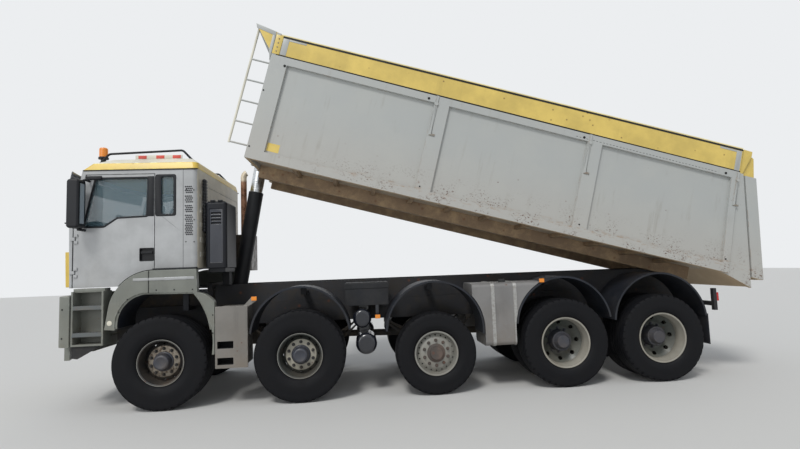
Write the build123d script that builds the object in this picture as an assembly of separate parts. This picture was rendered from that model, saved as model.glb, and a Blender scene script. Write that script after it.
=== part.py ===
from build123d import *
import math
import os

# Tipper truck with five axles, stored with its load body raised on the front cylinder.
# X points forward and is measured from the first axle, Y points to the truck's left, Z up.
# The finished solids are moved so that the origin is on the ground under the middle.

# Overall places
ORIGIN_X = -3481.0
RUN_GAP = 0.3
DOOR_GAP = 8.0
DOOR_FRONT_GAP = 12.0
SIDE_Y = 1250.0

# Axles: place along X, tyre radius, tyre width, rim seat radius, kind
AXLES = {
    1: dict(x=0.0, radius=601.5, width=445.0, seat=286.0, kind="steered"),
    2: dict(x=-1775.0, radius=601.5, width=445.0, seat=286.0, kind="steered"),
    3: dict(x=-3590.0, radius=545.0, width=385.0, seat=286.0, kind="dead"),
    4: dict(x=-5390.0, radius=601.0, width=325.0, seat=334.0, kind="driven"),
    5: dict(x=-6790.0, radius=601.0, width=325.0, seat=334.0, kind="driven"),
}
TWIN_PITCH = 362.0
TYRE_CROWN = 6.0
RIM_SHARE = 0.74
RIM_WALL = 12.0
FLANGE_HIGH = 12.0
DISC_THICK = 16.0
KINGPIN_INSET = 90.0
KINGPIN_R = 20.0
SPINDLE_R = 36.0

# Frame and subframe
RAIL_Y = 430.0
RAIL_WIDE = 80.0
RAIL_BOTTOM = 970.0
RAIL_TOP = 1270.0
RAIL_FRONT = 1150.0
RAIL_REAR = -7620.0
SUB_TOP = 1550.0
SUB_FRONT = -470.0
SUB_REAR = -7480.0
RAIL_WALL = 10.0

# Cab
CAB_HALF = 1120.0
CAB_REAR = -445.0
CAB_FLOOR = 1600.0
CAB_SIDE_BOTTOM = 1806.0
CAB_BELT = 2420.0
CAB_GUTTER = 3153.0
CAB_WALL = 60.0
CAB_TILT_X = 1200.0
CAB_TILT_Z = 1000.0
# Cab sections: height, corner X, nose X
CAB_SECTIONS = [
    (CAB_FLOOR, 1190.0, 1350.0),
    (CAB_BELT, 1205.0, 1385.0),
    (CAB_GUTTER, 1045.0, 1225.0),
]
# Roof sections: height, corner X, nose X, half width, rear X
ROOF_SECTIONS = [
    (CAB_GUTTER, 1045.0, 1225.0, CAB_HALF, CAB_REAR),
    (CAB_GUTTER + 97.0, 930.0, 1120.0, CAB_HALF - 35.0, CAB_REAR + 20.0),
    (CAB_GUTTER + 165.0, 700.0, 850.0, CAB_HALF - 120.0, CAB_REAR + 115.0),
]
CAB_FRONT_R = 50.0
CAB_REAR_R = 70.0
ROOF_WALL = 40.0
DOOR_FRONT = 1138.0
DOOR_REAR = 118.0
DOOR_TOP = CAB_GUTTER - 68.0
DOOR_TOP_FRONT = 985.0
HINGE_X = DOOR_FRONT - 16.0
HINGE_Y = CAB_HALF + 7.0
HINGE_PIN_R = 5.0
HINGE_R = 9.0
HINGE_ZS = (1800.0, 2240.0)
GLASS_THICK = 6.0

# Load body, built level in its lowered place and then turned about the rear pivot
TIP_X = -7333.0
TIP_Z = 1430.0
TIP_REST = 15.0
PIVOT_U = 6500.0
BODY_FRONT_X = TIP_X + PIVOT_U
BODY_BASE_Z = TIP_Z + 154.0
BODY_HALF = 1275.0
BODY_PANEL_Y = BODY_HALF - 40.0
BODY_INNER_Y = BODY_HALF - 80.0
BODY_SIDE_TOP = 1478.0
BODY_LONG = 6870.0
BOARD_TOP_FRONT = 1766.0
BOARD_TOP_REAR = 1824.0
TARP_ROLL_R = 24.0
FLOOR_LOW = 60.0
FLOOR_HIGH = 110.0
BEAM_IN = 470.0
BEAM_OUT = 560.0
BEAM_LOW = -125.0
PIVOT_R = 40.0
GATE_PIN_U = BODY_LONG + 150.0
GATE_PIN_V = 1800.0
GATE_PIN_R = 22.0

# Tipping cylinder between the frame and the front wall of the body
CYL_X = -631.0
CYL_Z = 1000.0
CYL_LEAN = 10.26
CYL_EYE = 3867.0
CYL_TUBE = 2010.0
CYL_STEP = 567.0
CYL_STAGE_LONG = 1930.0
CYL_RADII = (112.0, 95.0, 77.0, 60.0)
CYL_TRUNNION_R = 40.0
CYL_FOOT = 70.0
CYL_EYE_R = 65.0
CYL_EYE_WIDE = 110.0


def box(x0, x1, y0, y1, z0, z1):
    solid = Box(abs(x1 - x0), abs(y1 - y0), abs(z1 - z0))
    return Pos((x0 + x1) / 2, (y0 + y1) / 2, (z0 + z1) / 2) * solid


def group(shapes):
    """Separate solids kept together as one piece's shape."""
    return Compound([solid for shape in shapes for solid in shape.solids()])


def other_side(shape):
    return group([solid.mirror(Plane.XZ) for solid in shape.solids()])


def both(shape):
    return group([shape, other_side(shape)])


def joined(shapes):
    first, *rest = shapes
    return first.fuse(*rest) if rest else first


def side_face(points, y):
    return Plane.XZ.offset(-y) * make_face(Polyline(*points, close=True))


def side_plate(points, y0, y1):
    """A plate cut to an outline in the side view, from y0 to y1."""
    low, high = sorted((y0, y1))
    return extrude(side_face(points, high), high - low)


def rod(start, end, radius):
    start, end = Vector(*start), Vector(*end)
    run = end - start
    return extrude(Plane(origin=start, z_dir=run) * Circle(radius), run.length)


def across(x, z, radius, y0, y1):
    low, high = sorted((y0, y1))
    return rod((x, low, z), (x, high, z), radius)


def ring_about_y(points):
    """A turned piece about the Y axis from an outline of (y, radius)."""
    face = Plane.YZ * make_face(Polyline(*points, close=True))
    return revolve(face, Axis.Y, 360)


# Wheels

def tyre(spec):
    half = spec["width"] / 2
    bead = half * RIM_SHARE
    seat = spec["seat"] + RUN_GAP
    high = spec["radius"]
    edge = half * 0.86
    shoulder = high - 26
    bulge = seat + (high - seat) * 0.52
    lip = seat + FLANGE_HIGH + 2
    outline = Wire([
        Line((-bead, seat), (bead, seat)),
        Line((bead, seat), (bead, lip)),
        ThreePointArc((bead, lip), (half, bulge), (half - 9, shoulder - 30)),
        ThreePointArc((half - 9, shoulder - 30), (half - 14, shoulder), (edge, high - TYRE_CROWN)),
        ThreePointArc((edge, high - TYRE_CROWN), (0, high), (-edge, high - TYRE_CROWN)),
        ThreePointArc((-edge, high - TYRE_CROWN), (14 - half, shoulder), (9 - half, shoulder - 30)),
        ThreePointArc((9 - half, shoulder - 30), (-half, bulge), (-bead, lip)),
        Line((-bead, lip), (-bead, seat)),
    ])
    return revolve(Plane.YZ * make_face(outline), Axis.Y, 360)


def barrel_ring(spec):
    """The rolled rim under one tyre, with a flange at each edge."""
    bead = spec["width"] / 2 * RIM_SHARE + RUN_GAP
    out = spec["seat"]
    lip = out + FLANGE_HIGH
    inner = out - RIM_WALL
    well = out - 34
    return ring_about_y([
        (-bead - 14, inner), (-bead - 14, lip), (-bead, lip), (-bead, out - 2), (-bead + 40, out - 4),
        (-40, well + RIM_WALL), (40, well + RIM_WALL), (bead - 40, out - 4), (bead, out - 2),
        (bead, lip), (bead + 14, lip), (bead + 14, inner), (bead - 36, inner - 4), (40, well), (-40, well),
        (-bead + 36, inner - 4)])


# Turned hubs, as (y, radius): y from the tyre's middle, outboard positive. The brake drum is a cup
# that is open inboard, and the nose closes the bore of the spindle.
HUBS = {
    "steered": dict(disc=40.0, drum=-70.0, floor=10.0, drum_r=205.0, reach=-52.0,
                    holes=12, hole_circle=232.0, hole_r=13.0,
                    nose=((24.0, 150.0), (52.0, 150.0), (150.0, 96.0), (190.0, 88.0))),
    "dead": dict(disc=92.0, drum=-70.0, floor=50.0, drum_r=205.0, reach=-40.0,
                 holes=20, hole_circle=236.0, hole_r=11.0,
                 nose=((64.0, 142.0), (108.0, 142.0), (128.0, 92.0), (168.0, 86.0))),
    "driven": dict(disc=-172.0, drum=-340.0, floor=-206.0, drum_r=210.0, reach=96.0,
                   holes=8, hole_circle=252.0, hole_r=26.0,
                   nose=((-192.0, 168.0), (-120.0, 164.0), (-20.0, 142.0), (28.0, 92.0), (58.0, 80.0))),
}
DRUM_WALL = 14.0
HUB_CAP = 40.0


def disc_plate(spec, hub):
    """The pressed wheel disc, dished from the hub face out into the wall of the rim, with its hand holes."""
    edge = spec["seat"] - 16 if spec["kind"] == "driven" else spec["seat"] - 26
    at, reach = hub["disc"], hub["reach"]
    face_r = 215.0
    disc = ring_about_y([
        (at, 100), (at + DISC_THICK, 100), (at + DISC_THICK, face_r), (at + DISC_THICK + reach, edge - 6),
        (at + DISC_THICK + reach, edge), (at + reach, edge), (at, face_r + 8)])
    low, high = sorted((at - 4, at + DISC_THICK + reach / 2))
    turn = 360 / hub["holes"]
    for i in range(hub["holes"]):
        angle = math.radians((i + 0.5) * turn)
        x, z = hub["hole_circle"] * math.cos(angle), hub["hole_circle"] * math.sin(angle)
        disc -= across(x, z, hub["hole_r"], low - 60, high + 60)
    return disc


def hub_body(hub):
    """Brake drum, hub and cap turned in one, with a blind bore for the spindle."""
    bore = SPINDLE_R + RUN_GAP
    end_y, end_r = hub["nose"][-1]
    outline = [(hub["floor"], bore), (hub["floor"], hub["drum_r"] - DRUM_WALL),
               (hub["drum"], hub["drum_r"] - DRUM_WALL), (hub["drum"], hub["drum_r"]),
               (hub["floor"] + DRUM_WALL - 4, hub["drum_r"])]
    outline += list(hub["nose"])
    outline += [(end_y, 0.0), (end_y - HUB_CAP, 0.0), (end_y - HUB_CAP, bore)]
    return ring_about_y(outline)


def wheel(number, side):
    """Tyre and rim of one wheel at its axle; twin wheels are one pair on one hub."""
    spec = AXLES[number]
    hub = HUBS[spec["kind"]]
    middle = SIDE_Y - spec["width"] / 2
    rows = (0.0, -TWIN_PITCH) if spec["kind"] == "driven" else (0.0,)
    tyres = [Pos(0, row, 0) * tyre(spec) for row in rows]
    rims = [Pos(0, row, 0) * barrel_ring(spec) for row in rows]
    if spec["kind"] == "driven":
        rims.append(Pos(0, 2 * hub["disc"], 0) * disc_plate(spec, hub).mirror(Plane.XZ))
    rims.append(disc_plate(spec, hub))
    rims.append(hub_body(hub))
    rim = joined(rims)
    place = Pos(spec["x"], middle, spec["radius"])
    shapes = [group([place * one for one in tyres]), group([place * rim])]
    return [other_side(shape) for shape in shapes] if side == "right" else shapes


def spindle_reach(number):
    """How far out the spindle goes: to 10 mm short of the end of the hub's bore."""
    spec = AXLES[number]
    return SIDE_Y - spec["width"] / 2 + HUBS[spec["kind"]]["nose"][-1][0] - HUB_CAP - 10


def kingpin_y(number):
    return SIDE_Y - AXLES[number]["width"] / 2 - KINGPIN_INSET


EYE_R = 50.0
EYE_HALF = 78.0
LUG_THICK = 40.0
LUG_GAP = 5.0
WEB_OUT = 84.0


def knuckle(number, side):
    """Forked knuckle around the axle's kingpin eye, with the wheel spindle."""
    spec = AXLES[number]
    pin_y = kingpin_y(number)
    z = spec["radius"]
    x = spec["x"]
    lugs = []
    for low in (EYE_HALF + LUG_GAP, -EYE_HALF - LUG_GAP - LUG_THICK):
        lug = Pos(x, pin_y, z + low + LUG_THICK / 2) * Cylinder(EYE_R, LUG_THICK)
        lugs += [lug, box(x - EYE_R, x + EYE_R, pin_y, pin_y + WEB_OUT, z + low, z + low + LUG_THICK)]
    web_in = pin_y + EYE_R + LUG_GAP + 1
    reach = EYE_HALF + LUG_GAP + LUG_THICK
    web = box(x - EYE_R, x + EYE_R, web_in, pin_y + WEB_OUT, z - reach, z + reach)
    spindle = across(x, z, SPINDLE_R, pin_y + 70, spindle_reach(number))
    body = joined(lugs + [web, spindle])
    body = body - Pos(x, pin_y, z) * Cylinder(KINGPIN_R + RUN_GAP, 4 * EYE_HALF)
    return body.mirror(Plane.XZ) if side == "right" else body


def steered_axle(number):
    """Dropped beam with a kingpin eye at each end."""
    spec = AXLES[number]
    x, z = spec["x"], spec["radius"]
    pin_y = kingpin_y(number)
    low, high = z - BEAM_DROP - BEAM_DEEP, z - BEAM_DROP + BEAM_DEEP
    beam = Plane.YZ * make_face(Polyline(
        (-pin_y, z + 55), (-pin_y, z - 55), (-560, low), (560, low),
        (pin_y, z - 55), (pin_y, z + 55), (540, high), (-540, high), close=True))
    beam = Pos(x - 45, 0, 0) * extrude(beam, 90)
    parts = [beam]
    for y in (pin_y, -pin_y):
        parts.append(Pos(x, y, z) * Cylinder(EYE_R, 2 * EYE_HALF))
        parts.append(Pos(x, y, z) * Cylinder(KINGPIN_R, 2 * (EYE_HALF + LUG_THICK)))
    return joined(parts)


def straight_axle(number):
    """Straight axle with its spindles; a driven one has the differential bowl."""
    spec = AXLES[number]
    x, z = spec["x"], spec["radius"]
    reach = spindle_reach(number)
    tube_to = SIDE_Y - spec["width"] / 2 + HUBS[spec["kind"]]["floor"] - 6
    parts = [across(x, z, SPINDLE_R, -reach, reach), across(x, z, AXLE_TUBE_R, -tube_to, tube_to)]
    if spec["kind"] == "driven":
        parts.append(Pos(x, 0, z) * Sphere(215))
        parts.append(rod((x + 150, 0, z + 40), (x + 330, 0, z + 60), 90))
        if number + 1 in AXLES:
            parts.append(rod((x - 190, 0, z + 40), (AXLES[number + 1]["x"] + 336, 0, z + 60), 50))
    return joined(parts)


SPRING_WIDE = 70.0
SPRING_THICK = 60.0
CLAMP_HALF = 60.0
CLAMP_PROUD = 10.0
SPRING_EYE_DROP = 60.0
BEAM_DROP = 120.0
BEAM_DEEP = 60.0
AXLE_TUBE_R = 72.0
# Half length of the leaf pack on each axle
SPRING_HALVES = {1: 760.0, 2: 760.0, 3: 620.0, 4: 560.0, 5: 560.0}


def leaf_springs():
    """Leaf packs under the left rail, one on each axle, with their hangers."""
    packs = []
    for number, half in SPRING_HALVES.items():
        spec = AXLES[number]
        x = spec["x"]
        seat = BEAM_DEEP - BEAM_DROP if spec["kind"] == "steered" else AXLE_TUBE_R
        z = spec["radius"] + seat + SPRING_THICK / 2
        eye = RAIL_BOTTOM - SPRING_EYE_DROP
        outline = Wire([
            ThreePointArc((x - half, eye + 12), (x, z + SPRING_THICK / 2), (x + half, eye + 12)),
            Line((x + half, eye + 12), (x + half, eye - 12)),
            ThreePointArc((x + half, eye - 12), (x, z - SPRING_THICK / 2), (x - half, eye - 12)),
            Line((x - half, eye - 12), (x - half, eye + 12)),
        ])
        leaf = extrude(Plane.XZ.offset(-RAIL_Y) * make_face(outline), SPRING_WIDE)
        reach = SPRING_THICK / 2 + CLAMP_PROUD
        clamp = box(x - CLAMP_HALF, x + CLAMP_HALF, RAIL_Y - SPRING_WIDE, RAIL_Y, z - reach, z + reach)
        hangers = [box(x + s * half - 40, x + s * half + 40, RAIL_Y - SPRING_WIDE, RAIL_Y,
                       eye, RAIL_BOTTOM - RUN_GAP) for s in (-1, 1)]
        packs.append(joined([leaf, clamp] + hangers))
    return packs


def axles_and_springs():
    """Each axle with the leaf packs that carry the frame on it."""
    packs = leaf_springs()
    solids = []
    for number, pack in zip(AXLES, packs):
        axle = steered_axle(number) if AXLES[number]["kind"] == "steered" else straight_axle(number)
        solids.append(joined([axle, pack, other_side(pack)]))
    return group(solids)


# Frame

def channel(x0, x1, z0, z1):
    """A frame side rail of channel section, open towards the middle of the truck."""
    outer = box(x0, x1, RAIL_Y - RAIL_WIDE, RAIL_Y, z0, z1)
    hollow = box(x0 - 1, x1 + 1, RAIL_Y - RAIL_WIDE - 1, RAIL_Y - RAIL_WALL, z0 + RAIL_WALL, z1 - RAIL_WALL)
    return outer - hollow


# Cross members: place along X, low, high
FRAME_CROSS = [(1080.0, 1000.0, 1240.0), (-1150.0, 1010.0, 1230.0), (-2650.0, 1010.0, 1230.0),
               (-4500.0, 1010.0, 1230.0), (-6090.0, 1010.0, 1230.0), (-7560.0, 980.0, 1260.0)]
CROSS_HALF = 45.0
# Bridge across the frame that carries the rear of the cab
BRIDGE_X = -430.0
BRIDGE_THICK = 70.0
TILT_PIN_R = 22.0
# Cradle in the frame for the trunnions of the tipping cylinder
CRADLE_LOW = 870.0
CRADLE_HALF = 140.0


def chassis_frame():
    rail = channel(RAIL_REAR, RAIL_FRONT, RAIL_BOTTOM, RAIL_TOP)
    inside = RAIL_Y - RAIL_WALL
    cross = [box(x - CROSS_HALF, x + CROSS_HALF, -inside, inside, low, high) for x, low, high in FRAME_CROSS]
    tilt_lugs = [box(CAB_TILT_X - 160, CAB_TILT_X + 45, y0, y1, RAIL_BOTTOM, CAB_TILT_Z + 45)
                 for y0, y1 in ((RAIL_Y - 60, RAIL_Y), (-RAIL_Y, 60 - RAIL_Y))]
    pin = across(CAB_TILT_X, CAB_TILT_Z, TILT_PIN_R, -RAIL_Y - 70, RAIL_Y + 70)
    outline = [(CYL_X - 150, CRADLE_LOW), (CYL_X + 150, CRADLE_LOW), (CYL_X + 70, CYL_Z + 80),
               (CYL_X - 70, CYL_Z + 80)]
    cradle = [side_plate(outline, s * CRADLE_HALF, s * (CRADLE_HALF + 30)) for s in (1, -1)]
    seat = [box(CYL_X + s * 110 - 30, CYL_X + s * 110 + 30, -CRADLE_HALF, CRADLE_HALF, CRADLE_LOW,
                CRADLE_LOW + 60) for s in (-1, 1)]
    hangers = [box(CYL_X - 140, CYL_X + 140, y0, y1, RAIL_BOTTOM + 5, 1040)
               for y0, y1 in ((160, RAIL_Y - 5), (5 - RAIL_Y, -160))]
    bridge_top = CAB_FLOOR - 12
    posts = [box(BRIDGE_X, BRIDGE_X + BRIDGE_THICK, y0, y1, RAIL_TOP - 20, bridge_top)
             for y0, y1 in ((RAIL_Y - 70, RAIL_Y), (-RAIL_Y, 70 - RAIL_Y))]
    bridge = box(BRIDGE_X, BRIDGE_X + BRIDGE_THICK, -RAIL_Y, RAIL_Y, bridge_top - 68, bridge_top)
    frame = joined([rail, rail.mirror(Plane.XZ)] + cross + tilt_lugs + [pin, bridge] + posts + cradle + seat
                   + hangers + rear_lamp_bar())
    return frame - across(CYL_X, CYL_Z, CYL_TRUNNION_R + RUN_GAP, -200, 200)


SUB_CROSS = [-1300.0, -2650.0, -4000.0, -5390.0, -6790.0]
SUB_CROSS_LOW = 1330.0
SUB_CROSS_TOP = 1500.0


def tipper_subframe():
    """Subframe on the rails, with the rear pivot shaft that carries the body."""
    rail = box(SUB_REAR, SUB_FRONT, RAIL_Y - RAIL_WIDE, RAIL_Y, RAIL_TOP + RUN_GAP, SUB_TOP)
    inside = RAIL_Y - RAIL_WALL
    cross = [box(x - CROSS_HALF, x + CROSS_HALF, -inside, inside, SUB_CROSS_LOW, SUB_CROSS_TOP)
             for x in SUB_CROSS]
    shaft = across(TIP_X, TIP_Z, PIVOT_R, -BEAM_OUT - 30, BEAM_OUT + 30)
    return joined([rail, rail.mirror(Plane.XZ)] + cross + [shaft])


ENGINE_FRONT = 960.0
ENGINE_REAR = -330.0
ENGINE_HALF = 300.0
GEARBOX_REAR = -1060.0
GEARBOX_HALF = 170.0
SHAFT_R = 50.0


def engine_and_gearbox():
    """Heavy mass under the cab: plain engine block, gearbox and the shaft line to the rear axles."""
    block = box(ENGINE_REAR, ENGINE_FRONT, -ENGINE_HALF, ENGINE_HALF, 800, 1480)
    gearbox = box(GEARBOX_REAR, ENGINE_REAR, -GEARBOX_HALF, GEARBOX_HALF, 640, 860)
    foot = box(100, 240, ENGINE_HALF - 10, RAIL_Y - RAIL_WALL - RUN_GAP, 1000, 1100)
    shaft = rod((GEARBOX_REAR, 0, 740), (AXLES[4]["x"] + 338, 0, 662), SHAFT_R)
    return joined([block, gearbox, foot, foot.mirror(Plane.XZ), shaft])


# Front end

BUMPER_LOW = 640.0
BUMPER_CORNER_LOW = 855.0
BUMPER_TOP = 1500.0
BUMPER_REAR = 1105.0
BUMPER_NOSE = 1475.0
BUMPER_CORNER = 1235.0
BUMPER_WALL = 60.0
BUMPER_HALF = 1245.0
BUMPER_CORNER_R = 90.0
BUMPER_SLOTS = (1400.0, 1340.0)
BUMPER_SLOT_HALF = 620.0
BUMPER_SLOT_HIGH = 36.0
HEAD_LAMP_IN = 800.0
HEAD_LAMP_OUT = 1100.0
HEAD_LAMP_LOW = 1090.0
HEAD_LAMP_HIGH = 1290.0
HEAD_LAMP_DEEP = 38.0
HEAD_LAMP_SUNK = 4.0
TOW_Z = 780.0
TOW_R = 25.0
TOW_BACK = 95.0


def bow_face(x_rear, x_corner, x_nose, half, z, front_r=0.0, rear_r=0.0):
    """Plan outline with a straight back, straight sides and a bowed front, its corners rounded."""
    outline = Wire([
        Line((x_rear, -half), (x_corner, -half)),
        ThreePointArc((x_corner, -half), (x_nose, 0), (x_corner, half)),
        Line((x_corner, half), (x_rear, half)),
        Line((x_rear, half), (x_rear, -half)),
    ])
    face = make_face(outline)
    for radius, x in ((front_r, x_corner), (rear_r, x_rear)):
        if radius > 0:
            face = fillet([v for v in face.vertices() if abs(v.X - x) < 1], radius)
    return Pos(0, 0, z) * face


def bumper_solid(inset, low, high):
    """The bumper's outside, moved in by an even depth, between two heights."""
    face = bow_face(BUMPER_REAR - (10 if inset > 0 else 0), BUMPER_CORNER - inset, BUMPER_NOSE - inset,
                    BUMPER_HALF - inset, low, front_r=BUMPER_CORNER_R - inset)
    return extrude(face, high - low)


def bumper_skin(outside, inside):
    """What lies between two depths under the bumper's outside."""
    room = bumper_solid(inside, BUMPER_LOW - 1, BUMPER_TOP + 1)
    return bumper_solid(outside, BUMPER_LOW, BUMPER_TOP) - room


def head_lamp_room(grow):
    """Box around each head lamp, seen on the left."""
    return box(BUMPER_REAR, BUMPER_NOSE, HEAD_LAMP_IN - grow, HEAD_LAMP_OUT + grow,
               HEAD_LAMP_LOW - grow, HEAD_LAMP_HIGH + grow)


def head_lamp(side):
    """Lens and bowl set in the bumper, flush with its bowed face."""
    lens = bumper_skin(HEAD_LAMP_SUNK, HEAD_LAMP_DEEP - RUN_GAP) & head_lamp_room(0)
    return lens.mirror(Plane.XZ) if side == "right" else lens


def bumper():
    shell = bumper_skin(0, BUMPER_WALL)
    pocket = bumper_skin(-1, HEAD_LAMP_DEEP) & head_lamp_room(RUN_GAP)
    for s in (-1, 1):
        shell -= box(BUMPER_REAR - 20, BUMPER_NOSE, s * 900, s * 1300, BUMPER_LOW - 1, BUMPER_CORNER_LOW)
    shell = shell - pocket - pocket.mirror(Plane.XZ)
    for z in BUMPER_SLOTS:
        shell -= box(BUMPER_CORNER, BUMPER_NOSE + 10, -BUMPER_SLOT_HALF, BUMPER_SLOT_HALF,
                     z - BUMPER_SLOT_HIGH / 2, z + BUMPER_SLOT_HIGH / 2)
    start = RAIL_FRONT + RUN_GAP
    bar = box(start, RAIL_FRONT + 110, -560, 560, 700, 860)
    stays = [box(start, BUMPER_NOSE - BUMPER_WALL - 20, y - 40, y + 40, 1060, 1240) for y in (-380, 380)]
    jaw = box(RAIL_FRONT + 60, BUMPER_NOSE - 10, -70, 70, 720, 840)
    body = joined([shell, bar, jaw] + stays)
    gap = box(RAIL_FRONT + 170, BUMPER_NOSE + 10, -35, 35, 745, 815)
    pin_hole = Pos(BUMPER_NOSE - TOW_BACK, 0, TOW_Z) * Cylinder(TOW_R, 121)
    body = body - box(BUMPER_NOSE - 160, BUMPER_NOSE + 10, -150, 150, 640, 720)
    return body - gap - pin_hole


STEP_ZS = (1000.0, 1340.0)
STEP_REAR = 700.0
STEP_FRONT = 1098.0
STEP_IN = 1000.0
STEP_OUT = 1225.0
STEP_LOW = 860.0
STEP_TOP = 1555.0
STEP_PLATE = 24.0
STEP_LIP = 20.0


def entry_steps():
    """Step wells under the doors: back plate, cheeks, two treads and the rubber flap, on each side."""
    back = box(STEP_REAR + 12, STEP_FRONT - 2, STEP_IN, STEP_IN + STEP_PLATE, STEP_LOW, STEP_TOP)
    floor = box(STEP_REAR + 12, STEP_FRONT - 2, STEP_IN, STEP_OUT, STEP_LOW, STEP_LOW + STEP_PLATE)
    cheeks = [box(x, x + STEP_PLATE, STEP_IN, STEP_OUT, STEP_LOW, STEP_TOP)
              for x in (STEP_REAR, STEP_FRONT - STEP_PLATE)]
    rear, front = STEP_REAR + 20, STEP_FRONT - 18
    treads = [box(rear, front, STEP_IN + 20, STEP_OUT, z - 22, z + 22) for z in STEP_ZS]
    lips = [box(rear, front, STEP_OUT - STEP_LIP, STEP_OUT, z + 20, z + 30) for z in STEP_ZS]
    flap = side_plate([(STEP_FRONT - 4, 880), (STEP_FRONT - 4, 712), (1020, 700), (760, 842), (728, 880)],
                      STEP_OUT - 35, STEP_OUT - 21)
    stay = [box(850, 950, RAIL_Y + RUN_GAP, STEP_IN + 5, z, z + 60) for z in (1000.0, 1110.0)]
    return both(joined([back, floor, flap] + cheeks + treads + lips + stay))


FENDER_OUT = 1245.0
FENDER_IN = 1150.0
LINER_IN = 700.0


def front_fender_outline():
    outer = [
        Line((682, 1055), (640, 1300)),
        ThreePointArc((640, 1300), (452, 1660), (107, 1795)),
        Line((107, 1795), (-465, 1795)),
        Line((-465, 1795), (-475, 1490)),
        ThreePointArc((-475, 1490), (-610, 1440), (-694, 1354)),
        Line((-694, 1354), (-692, 680)),
        Line((-692, 680), (-655, 680)),
        ThreePointArc((-655, 680), (-625, 1130), (-430, 1490)),
        Line((-430, 1490), (197, 1506)),
        ThreePointArc((197, 1506), (415, 1410), (546, 1044)),
        Line((546, 1044), (682, 1055)),
    ]
    return Wire(outer)


def front_fenders():
    """Painted arch over each front wheel, its liner and the stay to the frame."""
    panel = extrude(Plane.XZ.offset(-FENDER_OUT) * make_face(front_fender_outline()), FENDER_OUT - FENDER_IN)
    liner = Wire([
        ThreePointArc((-650, 1000), (-580, 1260), (-435, 1498)),
        Line((-435, 1498), (200, 1514)),
        ThreePointArc((200, 1514), (422, 1416), (552, 1060)),
        Line((552, 1060), (525, 1060)),
        ThreePointArc((525, 1060), (400, 1392), (190, 1486)),
        Line((190, 1486), (-420, 1472)),
        ThreePointArc((-420, 1472), (-556, 1250), (-626, 1000)),
        Line((-626, 1000), (-650, 1000)),
    ])
    liner = extrude(Plane.XZ.offset(-FENDER_OUT + 20) * make_face(liner), FENDER_OUT - 20 - LINER_IN)
    stay = [box(-200, -120, RAIL_Y + RUN_GAP, LINER_IN + 40, 1220, 1265),
            box(-200, -120, LINER_IN, LINER_IN + 40, 1220, 1490)]
    return both(joined([panel, liner] + stay))


FENDER_THICK = 14.0
FENDER_STAY_Z = 1380.0
# Rear arches by axle: centre behind the axle, its height, radius, front and rear angles, inner edge
ARCHES = {
    2: dict(back=10.0, z=850.0, radius=652.0, front_deg=6.0, rear_deg=174.0, inner=700.0),
    3: dict(back=0.0, z=845.0, radius=660.0, front_deg=2.0, rear_deg=186.0, inner=700.0),
    4: dict(back=0.0, z=830.0, radius=668.0, front_deg=5.0, rear_deg=172.0, inner=600.0),
    5: dict(back=0.0, z=830.0, radius=668.0, front_deg=4.0, rear_deg=176.0, inner=600.0),
}
FENDER_OUTER = 1220.0
FENDER_LIP = 26.0


def arch(x, z, radius, thick, from_deg, to_deg, y0, y1):
    """A thin curved wheel arch about a point, from one angle to another."""
    def point(r, deg):
        a = math.radians(deg)
        return (x + r * math.cos(a), z + r * math.sin(a))
    middle = (from_deg + to_deg) / 2
    inner, outer = radius, radius + thick
    outline = Wire([
        ThreePointArc(point(outer, from_deg), point(outer, middle), point(outer, to_deg)),
        Line(point(outer, to_deg), point(inner, to_deg)),
        ThreePointArc(point(inner, to_deg), point(inner, middle), point(inner, from_deg)),
        Line(point(inner, from_deg), point(outer, from_deg)),
    ])
    return extrude(Plane.XZ.offset(-y1) * make_face(outline), y1 - y0)


def rear_fenders():
    """Black arches over axles two to five, each on a stay from the frame, and the rear mudflaps."""
    solids = []
    for number, spec in ARCHES.items():
        x = AXLES[number]["x"] - spec["back"]
        inner, top = spec["inner"], spec["z"] + spec["radius"]
        ends = (spec["front_deg"], spec["rear_deg"])
        cover = arch(x, spec["z"], spec["radius"], FENDER_THICK, *ends, inner, FENDER_OUTER)
        lip = arch(x, spec["z"], spec["radius"] - FENDER_LIP + FENDER_THICK, FENDER_LIP, *ends,
                   FENDER_OUTER - 8, FENDER_OUTER)
        stay = box(x - 40, x + 40, RAIL_Y + RUN_GAP, inner + 50, FENDER_STAY_Z, FENDER_STAY_Z + 50)
        upright = box(x - 40, x + 40, inner + 5, inner + 50, FENDER_STAY_Z, top + 2)
        solids.append(joined([cover, lip, stay, upright]))
        if number == 4:
            lamp_x, lamp_y, lamp_z = MARKERS[2]
            seat = box(lamp_x - 30, lamp_x + 10, lamp_y - 17, lamp_y, lamp_z - 32, lamp_z + 24)
            solids[-1] = joined([solids[-1], seat])
    x5 = AXLES[5]["x"]
    flap = box(x5 - 694, x5 - 680, 600, FENDER_OUTER, 480, 905)
    solids[-1] = joined([solids[-1], flap])
    return both(group(solids))


# Boxes and tanks on the frame

INTAKE_REAR = -790.0
INTAKE_FRONT = -505.0
INTAKE_IN = 450.0
INTAKE_OUT = 1000.0
INTAKE_LOW = 1800.0
INTAKE_TOP = 2715.0
INTAKE_SLOTS = [2400.0 + 46.0 * i for i in range(4)]

BOX_REAR = -1112.0
BOX_FRONT = -700.0
BOX_IN = 760.0
BOX_SKIN = 1215.0
BOX_LOW = 500.0
BOX_TOP = 1292.0
# Toe holes of the step box, by low and high edge
TOE_HOLES = ((545.0, 633.0), (752.0, 842.0))


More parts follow.
